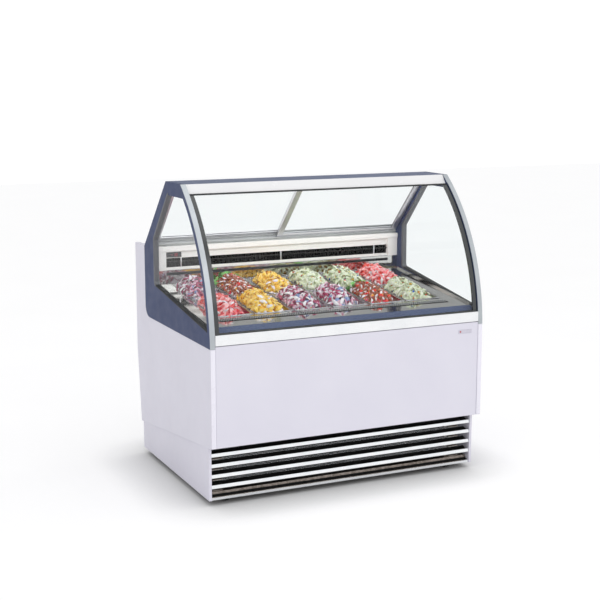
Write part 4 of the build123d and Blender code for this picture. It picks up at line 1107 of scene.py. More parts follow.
@dataclass
class HoodFrames:
    """Side frames with their trims, side glasses and the rubber that holds the glass."""

    hood: Hood
    wide_lip: float = 9.0
    narrow_lip: float = 7.0
    proud_mm: float = 1.6
    bite_mm: float = 3.0

    def gasket(self, side: Side, name: str, path: Profile, lip: float, finish: Finish) -> None:
        """A rubber channel pushed over the edge of a side glass's opening.

        Args:
            side: Which side glass.
            name: What its name starts with, after the side.
            path: The stretch of the opening's edge that it follows, with the opening on the left.
            lip: How far it covers the frame.
            finish: Its rubber.
        """
        near, far = self.hood.inner_x - 0.4, self.hood.outer_x + self.proud_mm
        section = [(near, 0.0), (near, -lip), (near + 1.6, -lip), (near + 1.6, -self.bite_mm),
                   (far - 3.0, -self.bite_mm), (far - 3.0, -lip), (far - 1.0, -lip), (far, -lip + 1.5),
                   (far, -1.5),
                   (far - 1.5, 0.8), (near + 1.0, 0.8)]
        strip = sweep(path, [(side.value * x, n) for x, n in section], False)
        piece(f"{side.word}_glass_{name}_seal", to_mesh(strip, name), finish)

    def build(self) -> None:
        """Dresses the frames and adds the gaskets."""
        for side in Side:
            rounded_copy(side.word + "_side_frame", BLUE_ABS, bevel_mm=1.0)
            sill, post = self.hood.opening_edges()
            self.gasket(side, "sill", sill, self.narrow_lip, SEAL_RUBBER)
            self.gasket(side, "post", post, self.wide_lip, SEAL_GREY)
        # The trims' darker aluminium is painted shade.
        dress("edge_trims", TRIM_ALUMINIUM_WITH_PAINTED_SHADE)
        dress("side_glasses", ClearGlass("toughened_side_glass"))


@dataclass
class FrontGlass:
    """The curved front glass that tilts forward, with enamelled edges and a rail along its foot."""

    hood: Hood
    half_width: float = 597.0
    band_mm: float = 19.0
    skin_mm: float = 0.5

    def build(self) -> None:
        """Dresses the glass and the rail, and adds the enamelled bands."""
        body = "front_glass_unit"
        dress("front_glass", ClearGlass("toughened_front_glass"))
        dress("front_glass_rail", EDGE_ENAMEL)
        bow = self.hood.bow(self.hood.glass_inner, self.hood.glass_low, self.hood.glass_high, 64)
        thick = self.hood.glass_outer - self.hood.glass_inner
        for side in Side:
            outer, inner = self.half_width + self.skin_mm, self.half_width - self.band_mm
            section = [(inner, -thick - self.skin_mm), (outer, -thick - self.skin_mm), (outer, self.skin_mm),
                       (inner, self.skin_mm)]
            band = sweep(bow, [(side.value * x, -n) for x, n in section], False)
            piece(f"front_glass_{side.word}_edge", to_mesh(band, "band"), EDGE_ENAMEL, body)


@dataclass
class Canopy:
    """The top cover, its white front, the seal over the glass and the LED strip under it."""

    hood: Hood
    half_width: float = 597.0
    seal_low: float = 1222.6
    seal_high: float = 1227.6
    led_centre: tuple[float, float] = (-96.0, 1240.0)
    led_size: tuple[float, float] = (22.0, 9.0)
    led_half: float = 560.0

    def build(self) -> None:
        """Dresses the canopy and adds the seal and the LED strip."""
        # The canopy's lighter blue is partly painted light from above.
        rounded_copy("canopy_cover", BLUE_WITH_PAINTED_TOPLIGHT, bevel_mm=0.8)
        rounded_copy("canopy_fascia", FASCIA_ACRYLIC, bevel_mm=1.0)
        outer = self.hood.bow(self.hood.glass_outer + 1.0, self.seal_low, self.seal_high, 3)
        inner = self.hood.bow(self.hood.glass_inner - 2.0, self.seal_low, self.seal_high, 3)
        seal = prism(outer + list(reversed(inner)), -self.half_width, self.half_width)
        piece("canopy_seal", to_mesh(seal, "seal"), SEAL_RUBBER)
        (y, z), (w, h) = self.led_centre, self.led_size
        channel = [(y - w / 2, z + h / 2), (y - w / 2, z - h / 2), (y - w / 2 + 2, z - h / 2),
                   (y - w / 2 + 2, z + h / 2 - 2), (y + w / 2 - 2, z + h / 2 - 2), (y + w / 2 - 2, z - h / 2),
                   (y + w / 2, z - h / 2), (y + w / 2, z + h / 2)]
        ends = self.led_half
        piece("led_channel", to_mesh(prism(channel, -ends, ends), "led_channel"), ANODISED_X)
        lens = block((2 - ends, y - w / 2 + 2.2, z - h / 2 - 1.5),
                     (ends - 2, y + w / 2 - 2.2, z + h / 2 - 2.2), 1.2)
        piece("led_diffuser", to_mesh(lens, "led_diffuser"), LED_DIFFUSER)


@dataclass
class RearDoors:
    """Two sliding doors in their tracks."""

    pull_half: float = 55.0

    def pull(self, body: str, frame_node: str, side: Side) -> None:
        """A shallow pull on the outer face of a door's outer stile."""
        lo, hi = (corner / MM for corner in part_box(frame_node))
        up = Vector((0.0, lo.y - hi.y, hi.z - lo.z)).normalized()
        out = Vector((0.0, up.z, -up.y))
        x = (hi.x if side is Side.RIGHT else lo.x) - side.value * 13.0
        grip = block((x - 6, -3.0, -self.pull_half), (x + 6, 3.0, self.pull_half), 2.5)
        middle = (lo + hi) / 2
        place = Vector((0.0, middle.y, middle.z)) + out * 7.5
        turn = Matrix((Vector((1, 0, 0)), out, up)).transposed().to_4x4()
        grip.transform(Matrix.Translation(place * MM) @ turn)
        piece(f"{body}_pull", to_mesh(grip, "pull"), FAN_NYLON, body)

    def build(self) -> None:
        """Dresses the doors and tracks and adds the pulls."""
        for side in Side:
            body = side.word + "_door"
            rounded_copy(body + "_frame", DOOR_ALUMINIUM, body, 0.8)
            dress(body + "_glass", ClearGlass("door_glass"))
            self.pull(body, body + "_frame", side)
        dress("door_tracks", TRACK_PVC)


@dataclass
class Deck:
    """The sloping stainless deck with its wells and the black return grille along the front."""

    repeat: Repeater
    front_edge: tuple[float, float] = (-395.0, 725.0)
    slope: float = 0.112
    grille_at: float = 81.0
    grille_width: float = 32.0
    grille_half: float = 528.0
    cell_mm: float = 10.4
    rib_mm: float = 2.2
    cell_rows: int = 3

    def matrix(self, across: float = 0.0, along: float = 0.0) -> Matrix:
        """The deck's own axes at a point on it: X across, Y up the slope, Z out of the deck."""
        up = Vector((0.0, 1.0, self.slope)).normalized()
        out = Vector((0.0, -up.z, up.y))
        place = Vector((across, *self.front_edge)) + up * along
        turn = Matrix((Vector((1, 0, 0)), up, out)).transposed().to_4x4()
        return Matrix.Translation(place * MM) @ turn

    def cells(self, top: float, bottom: float, finish: Finish) -> bmesh.types.BMesh:
        """Hexagonal rings all along the grille.

        Args:
            top: Height of their upper faces over the deck, in millimetres.
            bottom: Height of their lower faces.
            finish: What they are made of.

        Returns:
            The rings, about the middle of the grille.
        """
        ring = bmesh.new()
        outer, inner = self.cell_mm / math.sqrt(3.0), (self.cell_mm - self.rib_mm) / math.sqrt(3.0)
        loops = []
        for radius, height in ((outer, top), (inner, top), (inner, bottom), (outer, bottom)):
            loops.append([ring.verts.new(Vector((radius * math.cos(a), radius * math.sin(a), height)) * MM)
                          for a in (math.radians(60 * k + 30) for k in range(6))])
        for loop, other in zip(loops, loops[1:] + loops[:1]):
            for k in range(6):
                ring.faces.new((loop[k], loop[(k + 1) % 6], other[(k + 1) % 6], other[k]))
        columns = int(2 * self.grille_half / self.cell_mm)
        row_step = self.cell_mm * math.sqrt(3.0) / 2
        mesh = self.repeat.rows(ring, finish, (-columns * self.cell_mm / 2, -row_step, 0), columns,
                                (self.cell_mm, 0, 0), self.cell_rows, (0, row_step, 0), 0.5)
        return gathered([mesh])

    def honeycomb(self) -> None:
        """The return grille: a black strip of hexagonal cells, standing a little proud of the deck."""
        # The caps, the ribs' top faces, are light grey over black walls: a painted highlight.
        caps, walls = self.cells(1.6, 1.0, RIB_TOPS_PAINTED_HIGHLIGHT), self.cells(1.0, -3.4, GRILLE_ABS)
        rim = block((-self.grille_half, -self.grille_width / 2, -1.0),
                    (self.grille_half, -self.grille_width / 2 + 1.6, 2.0), 0.4)
        # The rear rim goes with the caps in light grey: a painted highlight.
        other_rim = rim.copy()
        other_rim.transform(Matrix.Translation((0, (self.grille_width - 1.6) * MM, 0)))
        # A black sheet under the cells where the duct holds only shade: painted shade.
        shade_sheet = block((-self.grille_half, -self.grille_width / 2, -6.0),
                       (self.grille_half, self.grille_width / 2, -5.0))
        for part in (caps, walls, rim, other_rim, shade_sheet):
            part.transform(self.matrix(0.0, self.grille_at))
        piece("return_air_honeycomb", merged([walls, rim, shade_sheet], "honeycomb"), GRILLE_ABS,
              replaces=("return_air_grille",))
        piece("return_air_cell_caps", merged([caps, other_rim], "caps"), RIB_TOPS_PAINTED_HIGHLIGHT)

    def build(self) -> None:
        """Dresses the deck and builds the grille."""
        dress("deck_frame", DECK_STEEL)
        self.honeycomb()


class Shape(Enum):
    """Shapes of the things strewn over ice cream, about 1 mm across, so that a scale is a size in mm."""

    BERRY = "berry"
    CHUNK = "chunk"
    CURL = "curl"
    LEAF = "leaf"
    PEARL = "pearl"

    def mesh(self) -> bpy.types.Mesh:
        """The shape's mesh."""
        bm = bmesh.new()
        if self is Shape.LEAF:
            return self.bent(bm, 1.0, 0.55, 0.07, 0.5)
        if self is Shape.CURL:
            return self.bent(bm, 1.15, 0.44, 0.2, 1.3)
        bmesh.ops.create_icosphere(bm, subdivisions=1 if self is Shape.PEARL else 2, radius=0.5 * MM)
        rough = {Shape.BERRY: 0.1, Shape.CHUNK: 0.75, Shape.PEARL: 0.0}[self]
        for vert in bm.verts:
            lump = noise.noise(vert.co / MM * 2.3 + Vector((3.1, 7.7, 1.3)))
            vert.co *= 1.0 + rough * lump
        if self is Shape.CHUNK:
            bm.transform(Matrix.Diagonal((1.0, 0.72, 0.6, 1.0)))
        return to_mesh(bm, self.value, 28.0 if self is Shape.CHUNK else 50.0)

    def bent(self, bm: bmesh.types.BMesh, length: float, width: float, thick: float,
             bend: float) -> bpy.types.Mesh:
        """A pointed, bent plate.

        Args:
            bm: An empty shape to build in.
            length: Its length, in millimetres, as are the width and thickness.
            width: Its widest.
            thick: Its thickness.
            bend: How far it bends, in radians.

        Returns:
            The mesh.
        """
        steps = 5
        rings = []
        for i in range(steps + 1):
            t = i / steps
            half = width / 2 * max(math.sin(math.pi * (0.12 + 0.76 * t)), 0.1)
            angle = bend * (t - 0.5) * 2
            centre = Vector((length * (t - 0.5), 0.0, length * 0.3 * math.cos(angle)))
            rings.append([bm.verts.new((centre + Vector((0.0, y, z))) * MM)
                          for y, z in ((-half, 0.0), (0.0, thick * 0.6), (half, 0.0), (0.0, -thick * 0.5))])
        for ring, other in zip(rings, rings[1:]):
            for k in range(4):
                bm.faces.new((ring[k], ring[(k + 1) % 4], other[(k + 1) % 4], other[k]))
        bm.faces.new(rings[0])
        bm.faces.new(rings[-1])
        return to_mesh(bm, self.value, 70.0)


# Parts of a heap: its crown, the slopes by the pan's walls, its ends, and the halves of its crown.
ZONES = ("top", "low", "rear", "front", "back_half", "front_half")


@dataclass(frozen=True)
class Topping:
    """One kind of thing strewn over a heap."""

    shape: Shape
    finish: Finish
    size_mm: tuple[float, float]
    spacing_mm: float
    zone: str = "top"
    sink_mm: float = 1.0


# Fruit, nuts and sugar. Each is a Morsel: its colour, its blotches, then how dull it is.
STRAWBERRY_BIT = Morsel("glazed_strawberry", "e83a34", "f4685c", 0.22, 12.0)
STRAWBERRY_CREAM = Morsel("strawberry_cream_flake", "fcc6c6", "f26a70", 0.42, 12.0, 0.2)
STRAWBERRY_DEEP = Morsel("strawberry_syrup_piece", "d8104a", "ee2f62", 0.16, 8.0, 0.7)
MANGO_BIT = Morsel("mango_piece", "f6b92c", "fbd768", 0.26, 8.0)
MANGO_CREAM = Morsel("mango_cream_flake", "fde28a", "f9cc44", 0.42, 12.0, 0.2)
CARAMEL_BIT = Morsel("caramel_piece", "9a5514", "c77a22", 0.18, 8.0, 0.7)
WHITE_CREAM = Morsel("whipped_cream_flake", "fbf8fa", "ece6ee", 0.4, 12.0, 0.2)
DARK_BERRY = Morsel("dark_berry", "7a1238", "c04a74", 0.18, 12.0, 0.7)
ROSE_FLAKE = Morsel("berry_cream_flake", "f0cfdb", "d48cab", 0.4, 12.0, 0.2)
BLUE_BERRY = Morsel("blueberry", "9fb0d6", "6f80b0", 0.35, 8.0, 0.3)
BRAMBLE = Morsel("bramble", "1d1226", "3a1a38", 0.16, 5.0, 0.7)
ORANGE_PEEL = Morsel("candied_orange_peel", "f29a28", "f6bb42", 0.24, 6.0)
COCOA_CHUNK = Morsel("milk_chocolate_chunk", "8a4a34", "a8644a", 0.3, 7.0, 0.4)
RED_CHERRY = Morsel("glazed_cherry", "e0201c", "f04a30", 0.14, 6.0, 0.8)
MINT_LEAF = Morsel("mint_leaf", "6fc45e", "9fdc86", 0.38, 5.0, 0.2)
PISTACHIO_FLAKE = Morsel("pistachio_cream_flake", "eef2e2", "d3deb6", 0.42, 12.0, 0.2)
NUT_BIT = Morsel("roasted_nut", "a88a44", "7a5a2a", 0.4, 4.0, 0.2)
LEMON_PEARL = Morsel("lemon_sugar_pearl", "f0d02a", "f6e05e", 0.2, 3.0)
RED_PEARL = Morsel("red_sugar_pearl", "e03a1e", "ee5a2c", 0.2, 3.0)
BLUE_PEARL = Morsel("blue_sugar_pearl", "3a5fd0", "5f86e0", 0.2, 3.0)


class Flavour(Enum):
    """A flavour: the ice itself and what is strewn over it."""

    STRAWBERRY = (Frozen("strawberry_ice", "f4787a", "e8303c", "e01050", "fde0de", 0.5), (
        Topping(Shape.CHUNK, STRAWBERRY_BIT, (22, 36), 24.0, "back_half"),
        Topping(Shape.CURL, STRAWBERRY_CREAM, (25, 39), 20.0, "top"),
        Topping(Shape.CHUNK, STRAWBERRY_BIT, (17, 28), 36.0, "top"),
        Topping(Shape.CHUNK, STRAWBERRY_DEEP, (20, 31), 31.0, "low"),
        Topping(Shape.CURL, WHITE_CREAM, (20, 31), 28.0, "front_half")))
    MANGO = (Frozen("mango_ice", "f7c63c", "e09a20", "a8641c", "fdecae", 0.35), (
        Topping(Shape.CURL, MANGO_CREAM, (25, 39), 21.0, "top"),
        Topping(Shape.CHUNK, MANGO_BIT, (25, 39), 27.0, "top"),
        Topping(Shape.CHUNK, CARAMEL_BIT, (18, 30), 34.0, "top"),
        Topping(Shape.CURL, WHITE_CREAM, (25, 36), 31.0, "front"),
        Topping(Shape.CHUNK, NUT_BIT, (14, 22), 26.0, "rear")))
    BERRY = (Frozen("berry_ice", "e9dfe9", "c08cac", "9a2c5c", "f7f4f8", 0.3), (
        Topping(Shape.CURL, ROSE_FLAKE, (22, 34), 24.0, "top"),
        Topping(Shape.CURL, DARK_BERRY, (25, 39), 24.0, "top"),
        Topping(Shape.CURL, WHITE_CREAM, (25, 36), 24.0, "top"),
        Topping(Shape.BERRY, BLUE_BERRY, (22, 31), 36.0, "front"),
        Topping(Shape.BERRY, BRAMBLE, (18, 24), 45.0, "top"),
        Topping(Shape.CHUNK, ORANGE_PEEL, (13, 20), 31.0, "low")))
    CHOCOLATE = (Frozen("chocolate_ice", "d08878", "9a4a34", "e8284c", "f6e2da", 0.5), (
        Topping(Shape.CHUNK, COCOA_CHUNK, (24, 38), 24.0, "top"),
        Topping(Shape.CURL, WHITE_CREAM, (16, 24), 21.0, "top"),
        Topping(Shape.BERRY, RED_CHERRY, (16, 22), 34.0, "top"),
        Topping(Shape.CHUNK, ORANGE_PEEL, (18, 26), 38.0, "front_half"),
        Topping(Shape.CHUNK, STRAWBERRY_DEEP, (20, 31), 28.0, "low"),
        Topping(Shape.LEAF, MINT_LEAF, (34, 48), 28.0, "rear", -1.0)))
    PISTACHIO = (Frozen("pistachio_ice", "dfe8ca", "bccd98", "b8a468", "f1f5e6", 0.2), (
        Topping(Shape.CURL, PISTACHIO_FLAKE, (25, 39), 17.0, "top"),
        Topping(Shape.CHUNK, RED_CHERRY, (11, 17), 38.0, "top", -1.0),
        Topping(Shape.CHUNK, ORANGE_PEEL, (11, 17), 41.0, "top", -1.0),
        Topping(Shape.PEARL, BLUE_PEARL, (9, 12), 43.0, "top", -3.0),
        Topping(Shape.PEARL, LEMON_PEARL, (8, 11), 38.0, "top", -3.0),
        Topping(Shape.PEARL, RED_PEARL, (8, 11), 31.0, "low", -1.0),
        Topping(Shape.CHUNK, NUT_BIT, (15, 25), 24.0, "rear")))

    @property
    def ice(self) -> Frozen:
        """The finish of the ice itself."""
        return self.value[0]

    @property
    def toppings(self) -> tuple[Topping, ...]:
        """What is strewn over it."""
        return self.value[1]

    @property
    def slot(self) -> str:
        """The record's material slot."""
        return "ice_cream_" + self.name.lower()


@dataclass
class Pans:
    """Twelve pans in two rows, each with its heap of ice cream."""

    deck: Deck
    scatter: bpy.types.NodeTree = field(default_factory=scatter_tree)
    pitch: float = 176.0
    row_at: tuple[float, float] = (251.5, 511.0)
    half_width: float = 74.0
    half_length: float = 116.0
    corner: float = 14.0
    edge_level: float = -25.0
    base_level: float = -34.0
    taper: float = 0.985
    crown: float = 66.0
    crest_shift: float = -22.0
    bare_right: float = 26.0
    rim: tuple[float, float] = (172.0, 256.0)
    rim_corner: float = 14.0
    bead_mm: float = 2.6
    step_mm: float = 2.3
    lumps_mm: tuple = ((9.0, 26.0), (6.0, 12.0), (3.0, 6.0))
    rear_seed: int = 10
    front: tuple = (Flavour.STRAWBERRY, Flavour.MANGO, Flavour.BERRY, Flavour.BERRY, Flavour.CHOCOLATE,
                    Flavour.PISTACHIO)
    rear: tuple = (Flavour.BERRY, Flavour.CHOCOLATE, Flavour.MANGO, Flavour.PISTACHIO, Flavour.PISTACHIO,
                   Flavour.STRAWBERRY)

    def height(self, x: float, y: float, seed: int) -> float:
        """Height of a heap over its pan's rim.

        Args:
            x: Across the pan, from its middle, in millimetres.
            y: Up the slope, from its middle.
            seed: Number of the pan, which shifts the lumps.

        Returns:
            The height in millimetres.
        """
        side = self.half_width + self.crest_shift
        reach = self.half_width - self.crest_shift - self.bare_right if x > self.crest_shift else side + 10.0
        across = min(abs(x - self.crest_shift) / reach, 1.0)
        along = min(abs(y) / (self.half_length + 2.0), 1.0)
        dome = (1.0 - across ** 2.2) ** 0.75 * (1.0 - along ** 4.4) ** 0.5
        spot = Vector((x, y, 40.0 * seed))
        lumps = sum(deep * noise.noise(spot / wide) for deep, wide in self.lumps_mm)
        ridges = 5.0 * (1.0 - abs(noise.noise(spot / 17.0 + Vector((9.0, 2.0, 5.0)))) * 3.0)
        return self.edge_level + self.crown * 0.94 * dome + (lumps + ridges) * min(dome * 2.0 + 0.1, 1.0)

    def heap(self, seed: int) -> bpy.types.Mesh:
        """A closed heap in the pan's own axes, with the zones for its toppings as attributes.

        Args:
            seed: Number of the pan.

        Returns:
            The mesh.
        """
        bm = bmesh.new()
        columns, rows = (int(2 * half / self.step_mm) for half in (self.half_width, self.half_length))
        zones = {zone: bm.verts.layers.float.new(zone) for zone in ZONES}
        grid = []
        for j in range(rows + 1):
            line = []
            for i in range(columns + 1):
                x = (2 * i / columns - 1) * self.half_width
                y = (2 * j / rows - 1) * self.half_length
                past = [max(abs(v) - (half - self.corner), 0.0)
                        for v, half in ((x, self.half_width), (y, self.half_length))]
                if min(past) > 0:
                    pull = max(past) / math.hypot(*past)
                    x = math.copysign(self.half_width - self.corner + past[0] * pull, x)
                    y = math.copysign(self.half_length - self.corner + past[1] * pull, y)
                z = self.height(x, y, seed)
                vert = bm.verts.new(Vector((x, y, z)) * MM)
                rise = (z - self.edge_level) / self.crown
                near = y / self.half_length
                inside = {"top": rise > 0.3 and near < 0.7, "low": 0.05 < rise < 0.5 and near < 0.5,
                          "rear": near > 0.55 and rise > 0.05, "front": near < -0.35 and rise > 0.12,
                          "back_half": rise > 0.3 and near > -0.1, "front_half": rise > 0.3 and near < 0.2}
                for zone, layer in zones.items():
                    vert[layer] = float(inside[zone])
                line.append(vert)
            grid.append(line)
        for low, high in zip(grid, grid[1:]):
            for i in range(columns):
                bm.faces.new((low[i], low[i + 1], high[i + 1], high[i]))
        # The skirt goes round in a fixed order, because the toppings' places depend on the order of the faces.
        edge = [*grid[0], *(line[-1] for line in grid[1:-1]), *grid[-1][::-1],
                *(line[0] for line in grid[-2:0:-1])]
        foot = [bm.verts.new((*(vert.co.xy * self.taper), self.base_level * MM)) for vert in edge]
        for k, vert in enumerate(edge):
            bm.faces.new((vert, edge[k - 1], foot[k - 1], foot[k]))
        bm.faces.new(foot[::-1])
        return to_mesh(bm, "heap", 60.0)

    def strew(self, heap: bpy.types.Mesh, flavour: Flavour, seed: int) -> bpy.types.Mesh:
        """All toppings of a heap as one mesh, in the pan's own axes.

        Args:
            heap: The heap's mesh.
            flavour: Its flavour.
            seed: Number of the pan.

        Returns:
            The mesh, which brings its materials.
        """
        whole = bmesh.new()
        finishes = []
        for number, topping in enumerate(flavour.toppings):
            layer = grow(self.scatter, topping.shape.mesh(), {
                "Spacing": topping.spacing_mm * MM, "Most": 1e6, "Smallest": float(topping.size_mm[0]),
                "Largest": float(topping.size_mm[1]), "Lean": 0.9, "Sink": topping.sink_mm * MM,
                "Seed": seed * 31 + number * 7, "Zone": topping.zone, "Finish": topping.finish.material()},
                heap)
            first = len(whole.faces)
            whole.from_mesh(layer)
            whole.faces.ensure_lookup_table()
            for face in whole.faces[first:]:
                face.material_index = number
            finishes.append(topping.finish)
        mesh = bpy.data.meshes.new("toppings")
        whole.to_mesh(mesh)
        whole.free()
        for finish in finishes:
            mesh.materials.append(finish.material())
        return mesh

    def bead(self) -> bpy.types.Mesh:
        """The rolled edge of a pan's rim, in the pan's own axes."""
        half = (self.rim[0] / 2 - self.bead_mm, self.rim[1] / 2 - self.bead_mm)
        middle = []
        for x, y, start in ((1, 1, 0), (-1, 1, 90), (-1, -1, 180), (1, -1, 270)):
            centre = (x * (half[0] - self.rim_corner), y * (half[1] - self.rim_corner))
            middle += arc(centre, self.rim_corner, start, start + 90, 6)
        section = [(self.bead_mm * math.cos(a) + 1.2, self.bead_mm * math.sin(a))
                   for a in (math.tau * k / 8 for k in range(8))]
        ring = sweep(middle, section, True)
        ring.transform(Matrix(((0, 1, 0, 0), (0, 0, 1, 0), (1, 0, 0, 0), (0, 0, 0, 1))))
        return to_mesh(ring, "bead", 60.0)

    def build(self) -> None:
        """Dresses the pans and fills them."""
        for row, flavours, along in (("front", self.front, self.row_at[0]),
                                     ("rear", self.rear, self.row_at[1])):
            for number, flavour in enumerate(flavours, 1):
                seed = number + (self.rear_seed if row == "rear" else 0)
                name = f"{row}_{number}"
                body = "pan_unit_" + name
                place = self.deck.matrix((number - 3.5) * self.pitch, along)
                dress("pan_" + name, PAN_STEEL)
                heap = self.heap(seed)
                toppings = self.strew(heap, flavour, seed)
                bead = self.bead()
                for mesh in (heap, toppings, bead):
                    mesh.transform(place)
                piece("rim_bead_" + name, bead, PAN_STEEL, body)
                piece("heap_" + name, heap, flavour.ice, body, ("ice_cream_" + name,))
                piece("toppings_" + name, toppings, None, body)


@dataclass
class AirOutlet:
    """The white box along the rear edge, with two rows of black slots and the temperature display."""

    repeat: Repeater
    slot_rows: tuple = ((870.0, 892.0), (896.0, 910.0))
    half_length: float = 549.0
    face_y: float = 254.0
    digit_height: float = 13.0
    digit_pitch: float = 11.0
    post_x: tuple[float, ...] = (-478.0, 0.0, 478.0)
    vane_reach: float = 540.0
    vane_count: int = 73
    vane_pitch: float = 15.0

    def vanes(self) -> None:
        """Thin upright vanes behind the slots, on a black back plate that closes the slots and stands in for
        the shade inside the box: painted shade.
        """
        rows = []
        for low, high in self.slot_rows:
            vane = block((-0.6, 6.0, low), (0.6, 20.0, high))
            rows.append(self.repeat.rows(vane, VANE_BLACK_AND_PAINTED_SHADE, (-self.vane_reach, self.face_y, 0),
                                         self.vane_count, (self.vane_pitch, 0, 0)))
        low, high = self.slot_rows[0][0] - 4, self.slot_rows[1][1] + 4
        # The back plate is a black sheet where the box holds only shade: painted shade.
        plate = block((-self.half_length, self.face_y + 20, low), (self.half_length, self.face_y + 22, high))
        piece("outlet_vanes", merged([gathered(rows), plate], "vanes"), VANE_BLACK_AND_PAINTED_SHADE)

    def bars(self) -> None:
        """Thin bars over the webs between the slots."""
        (_, low), (high, _) = self.slot_rows
        bottom, top = self.slot_rows[0][0], self.slot_rows[1][1]
        face = self.face_y - 0.6
        long_bar = block((-self.half_length, face, low - 0.6),
                         (self.half_length, self.face_y + 3, high + 0.6), 0.5)
        piece("outlet_long_bar", to_mesh(long_bar, "bar"), BAR_ANODISED)
        posts = [block((x - 2.6, face - 0.4, bottom), (x + 2.6, self.face_y + 3, top), 0.5)
                 for x in self.post_x]
        piece("outlet_posts", merged(posts, "posts"), DOOR_ALUMINIUM)

    def digits(self) -> None:
        """Seven-segment digits that read minus eighteen."""
        lo, hi = (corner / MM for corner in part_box("temperature_display"))
        x, z = (lo.x + hi.x) / 2, (lo.z + hi.z) / 2
        h = self.digit_height
        w = h * 0.5
        bars = {"a": (0, h / 2, w, 0), "g": (0, 0, w, 0), "d": (0, -h / 2, w, 0),
                "b": (w / 2, h / 4, 0, h / 2), "c": (w / 2, -h / 4, 0, h / 2),
                "e": (-w / 2, -h / 4, 0, h / 2), "f": (-w / 2, h / 4, 0, h / 2)}
        parts = []
        for place, lit in ((-self.digit_pitch, "g"), (0.0, "bc"), (self.digit_pitch, "abcdefg")):
            for segment in lit:
                cx, cz, length, tall = bars[segment]
                half = (max(length - 1.4, 1.3) / 2, max(tall - 1.4, 1.3) / 2)
                parts.append(block((x + place + cx - half[0], lo.y - 0.35, z + cz - half[1]),
                                   (x + place + cx + half[0], lo.y + 0.3, z + cz + half[1])))
        piece("display_digits", merged(parts, "digits"), DIGIT_RED)

    def build(self) -> None:
        """Dresses the box and display and adds vanes, bars and digits."""
        rounded_copy("air_outlet_box", WARM_ENAMEL, bevel_mm=0.5)
        dress("temperature_display", BEZEL)
        self.vanes()
        self.bars()
        self.digits()


@dataclass
class Plinth:
    """Louvres with their clips, the dust filter behind them, the base frame and the feet."""

    repeat: Repeater
    louvre_z: tuple[float, ...] = (81.0, 124.5, 168.0, 211.5)
    clip_y: tuple[float, float] = (-392.0, -354.0)
    clip_x: tuple = ((-592.0, -548.0), (506.0, 552.0))
    filter_y: float = -352.0
    filter_half: float = 514.0
    filter_z: tuple[float, float] = (58.0, 297.0)
    wire_mm: float = 14.0

    def dust_filter(self) -> None:
        """A black foam pad behind the louvres, held by a wire grid; its black also stands in for the shade
        between the louvres: painted shade.
        """
        low, high = self.filter_z
        pad = block((-self.filter_half, self.filter_y, low), (self.filter_half, self.filter_y + 4, high), 1.0)
        piece("dust_filter_pad", to_mesh(pad, "pad"), FILTER_FOAM_AND_PAINTED_SHADE)
        upright = block((-0.9, -2.4, low), (0.9, -0.6, high))
        count = int(2 * self.filter_half / self.wire_mm)
        uprights = self.repeat.rows(upright, FAN_NYLON, (-self.filter_half + 8, self.filter_y, 0), count,
                                    (self.wire_mm, 0, 0))
        bar = block((-self.filter_half, -1.2, -0.9), (self.filter_half, 0.2, 0.9))
        bars = self.repeat.rows(bar, FAN_NYLON, (0, self.filter_y, low + 8), 1, (0, 0, 0),
                                int((high - low) / self.wire_mm), (0, 0, self.wire_mm))
        piece("dust_filter_grid", to_mesh(gathered([uprights, bars]), "grid"), FAN_NYLON)

    def clips(self) -> None:
        """Folded zinc clips that hold the louvres, near both ends."""
        front, back = self.clip_y
        parts = []
        for z in self.louvre_z:
            for left, right in self.clip_x:
                parts.append(block((left, back - 3, z - 31), (right, back - 1.6, z - 5), 0.4))
                parts.append(block((left, front, z - 21), (right, back - 2, z - 19.6), 0.4))
        piece("louvre_clips", merged(parts, "clips"), CLIP_ZINC)

    def build(self) -> None:
        """Dresses the plinth's parts and adds the clips and the dust filter."""
        self.clips()
        self.dust_filter()
        rounded_copy("grille_slats", LOUVRE_WITH_PAINTED_SHADE, bevel_mm=0.5)
        dress("base_frame", ZINC)
        dress("levelling_feet", FOOT_RUBBER)


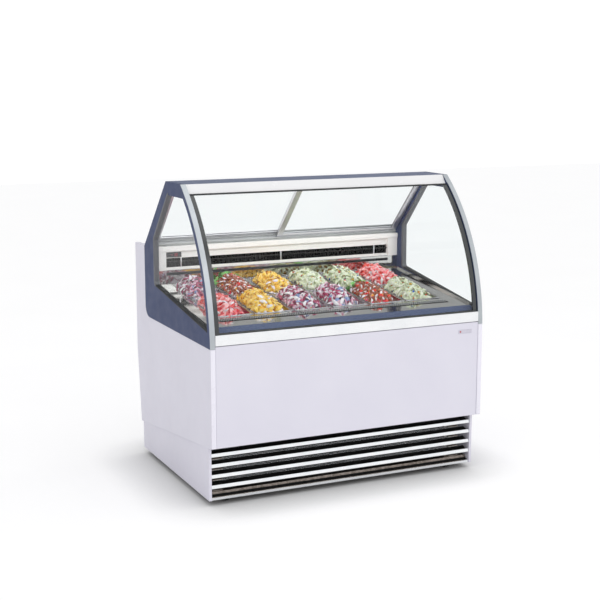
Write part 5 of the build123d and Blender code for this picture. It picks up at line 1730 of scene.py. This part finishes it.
@dataclass
class Machinery:
    """The cooling unit: coils, fans, compressor and pipes."""

    repeat: Repeater

    def fins(self, node: str, along_x: float, count_step: float = 4.0) -> None:
        """Thin fins over the whole width of a coil, standing 0.6 mm proud of the CAD block."""
        lo, hi = (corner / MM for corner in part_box(node))
        fin = block((-0.25, lo.y - 0.6, lo.z + 6), (0.25, hi.y + 0.6, hi.z - 6))
        columns = int((hi.x - lo.x - 2 * along_x) / count_step)
        fins = self.repeat.rows(fin, FIN_SHEET, (lo.x + along_x, 0, 0), columns, (count_step, 0, 0))
        piece(node + "_fins", fins, None)

    def build(self) -> None:
        """Dresses the machinery."""
        dress("insulated_tub", TubSkin("tub_enamel_and_bitumen"))
        dress("compressor", COMPRESSOR_PAINT)
        for coil in ("condenser_coil", "evaporator_coil"):
            dress(coil, FIN_SHEET)
            self.fins(coil, 12.0)
        dress("refrigerant_pipes", PIPE_COPPER)
        dress("condenser_fan", FAN_NYLON)
        dress("evaporator_fan", FAN_NYLON)


@dataclass
class RearPanel:
    """The white rear sheet with its screws, the switch box and the switch."""

    repeat: Repeater
    half_width: float = 575.0

    def build(self) -> None:
        """Dresses the rear panel and adds its screws."""
        rounded_copy("rear_panel", WHITE_POWDER, bevel_mm=0.6)
        dress("control_box", CONTROL_ABS)
        dress("power_switch", SWITCH_RED)
        lo, hi = (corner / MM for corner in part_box("rear_panel"))
        head = screw(Euler((-math.pi / 2, 0, 0)))
        heads = self.repeat.rows(head, SCREW_STEEL, (-self.half_width, hi.y, hi.z - 20), 6,
                                 (self.half_width * 2 / 5, 0, 0), 2, (0, 0, -(hi.z - 20 - 500)))
        piece("rear_panel_screws", heads, None)


def main() -> None:
    """Builds the cabinet's looks, piece by piece."""
    logging.basicConfig(level=logging.INFO, format="%(name)s: %(message)s")
    Studio().build()
    hood = Hood()
    repeat = Repeater()
    deck = Deck(repeat)
    for assembly in (Shell(), HoodFrames(hood), FrontGlass(hood), Canopy(hood), RearDoors(), deck, Pans(deck),
                     AirOutlet(repeat), Plinth(repeat), Machinery(repeat), RearPanel(repeat)):
        log.info("-- %s", type(assembly).__name__)
        assembly.build()


if __name__ == "__main__":
    main()
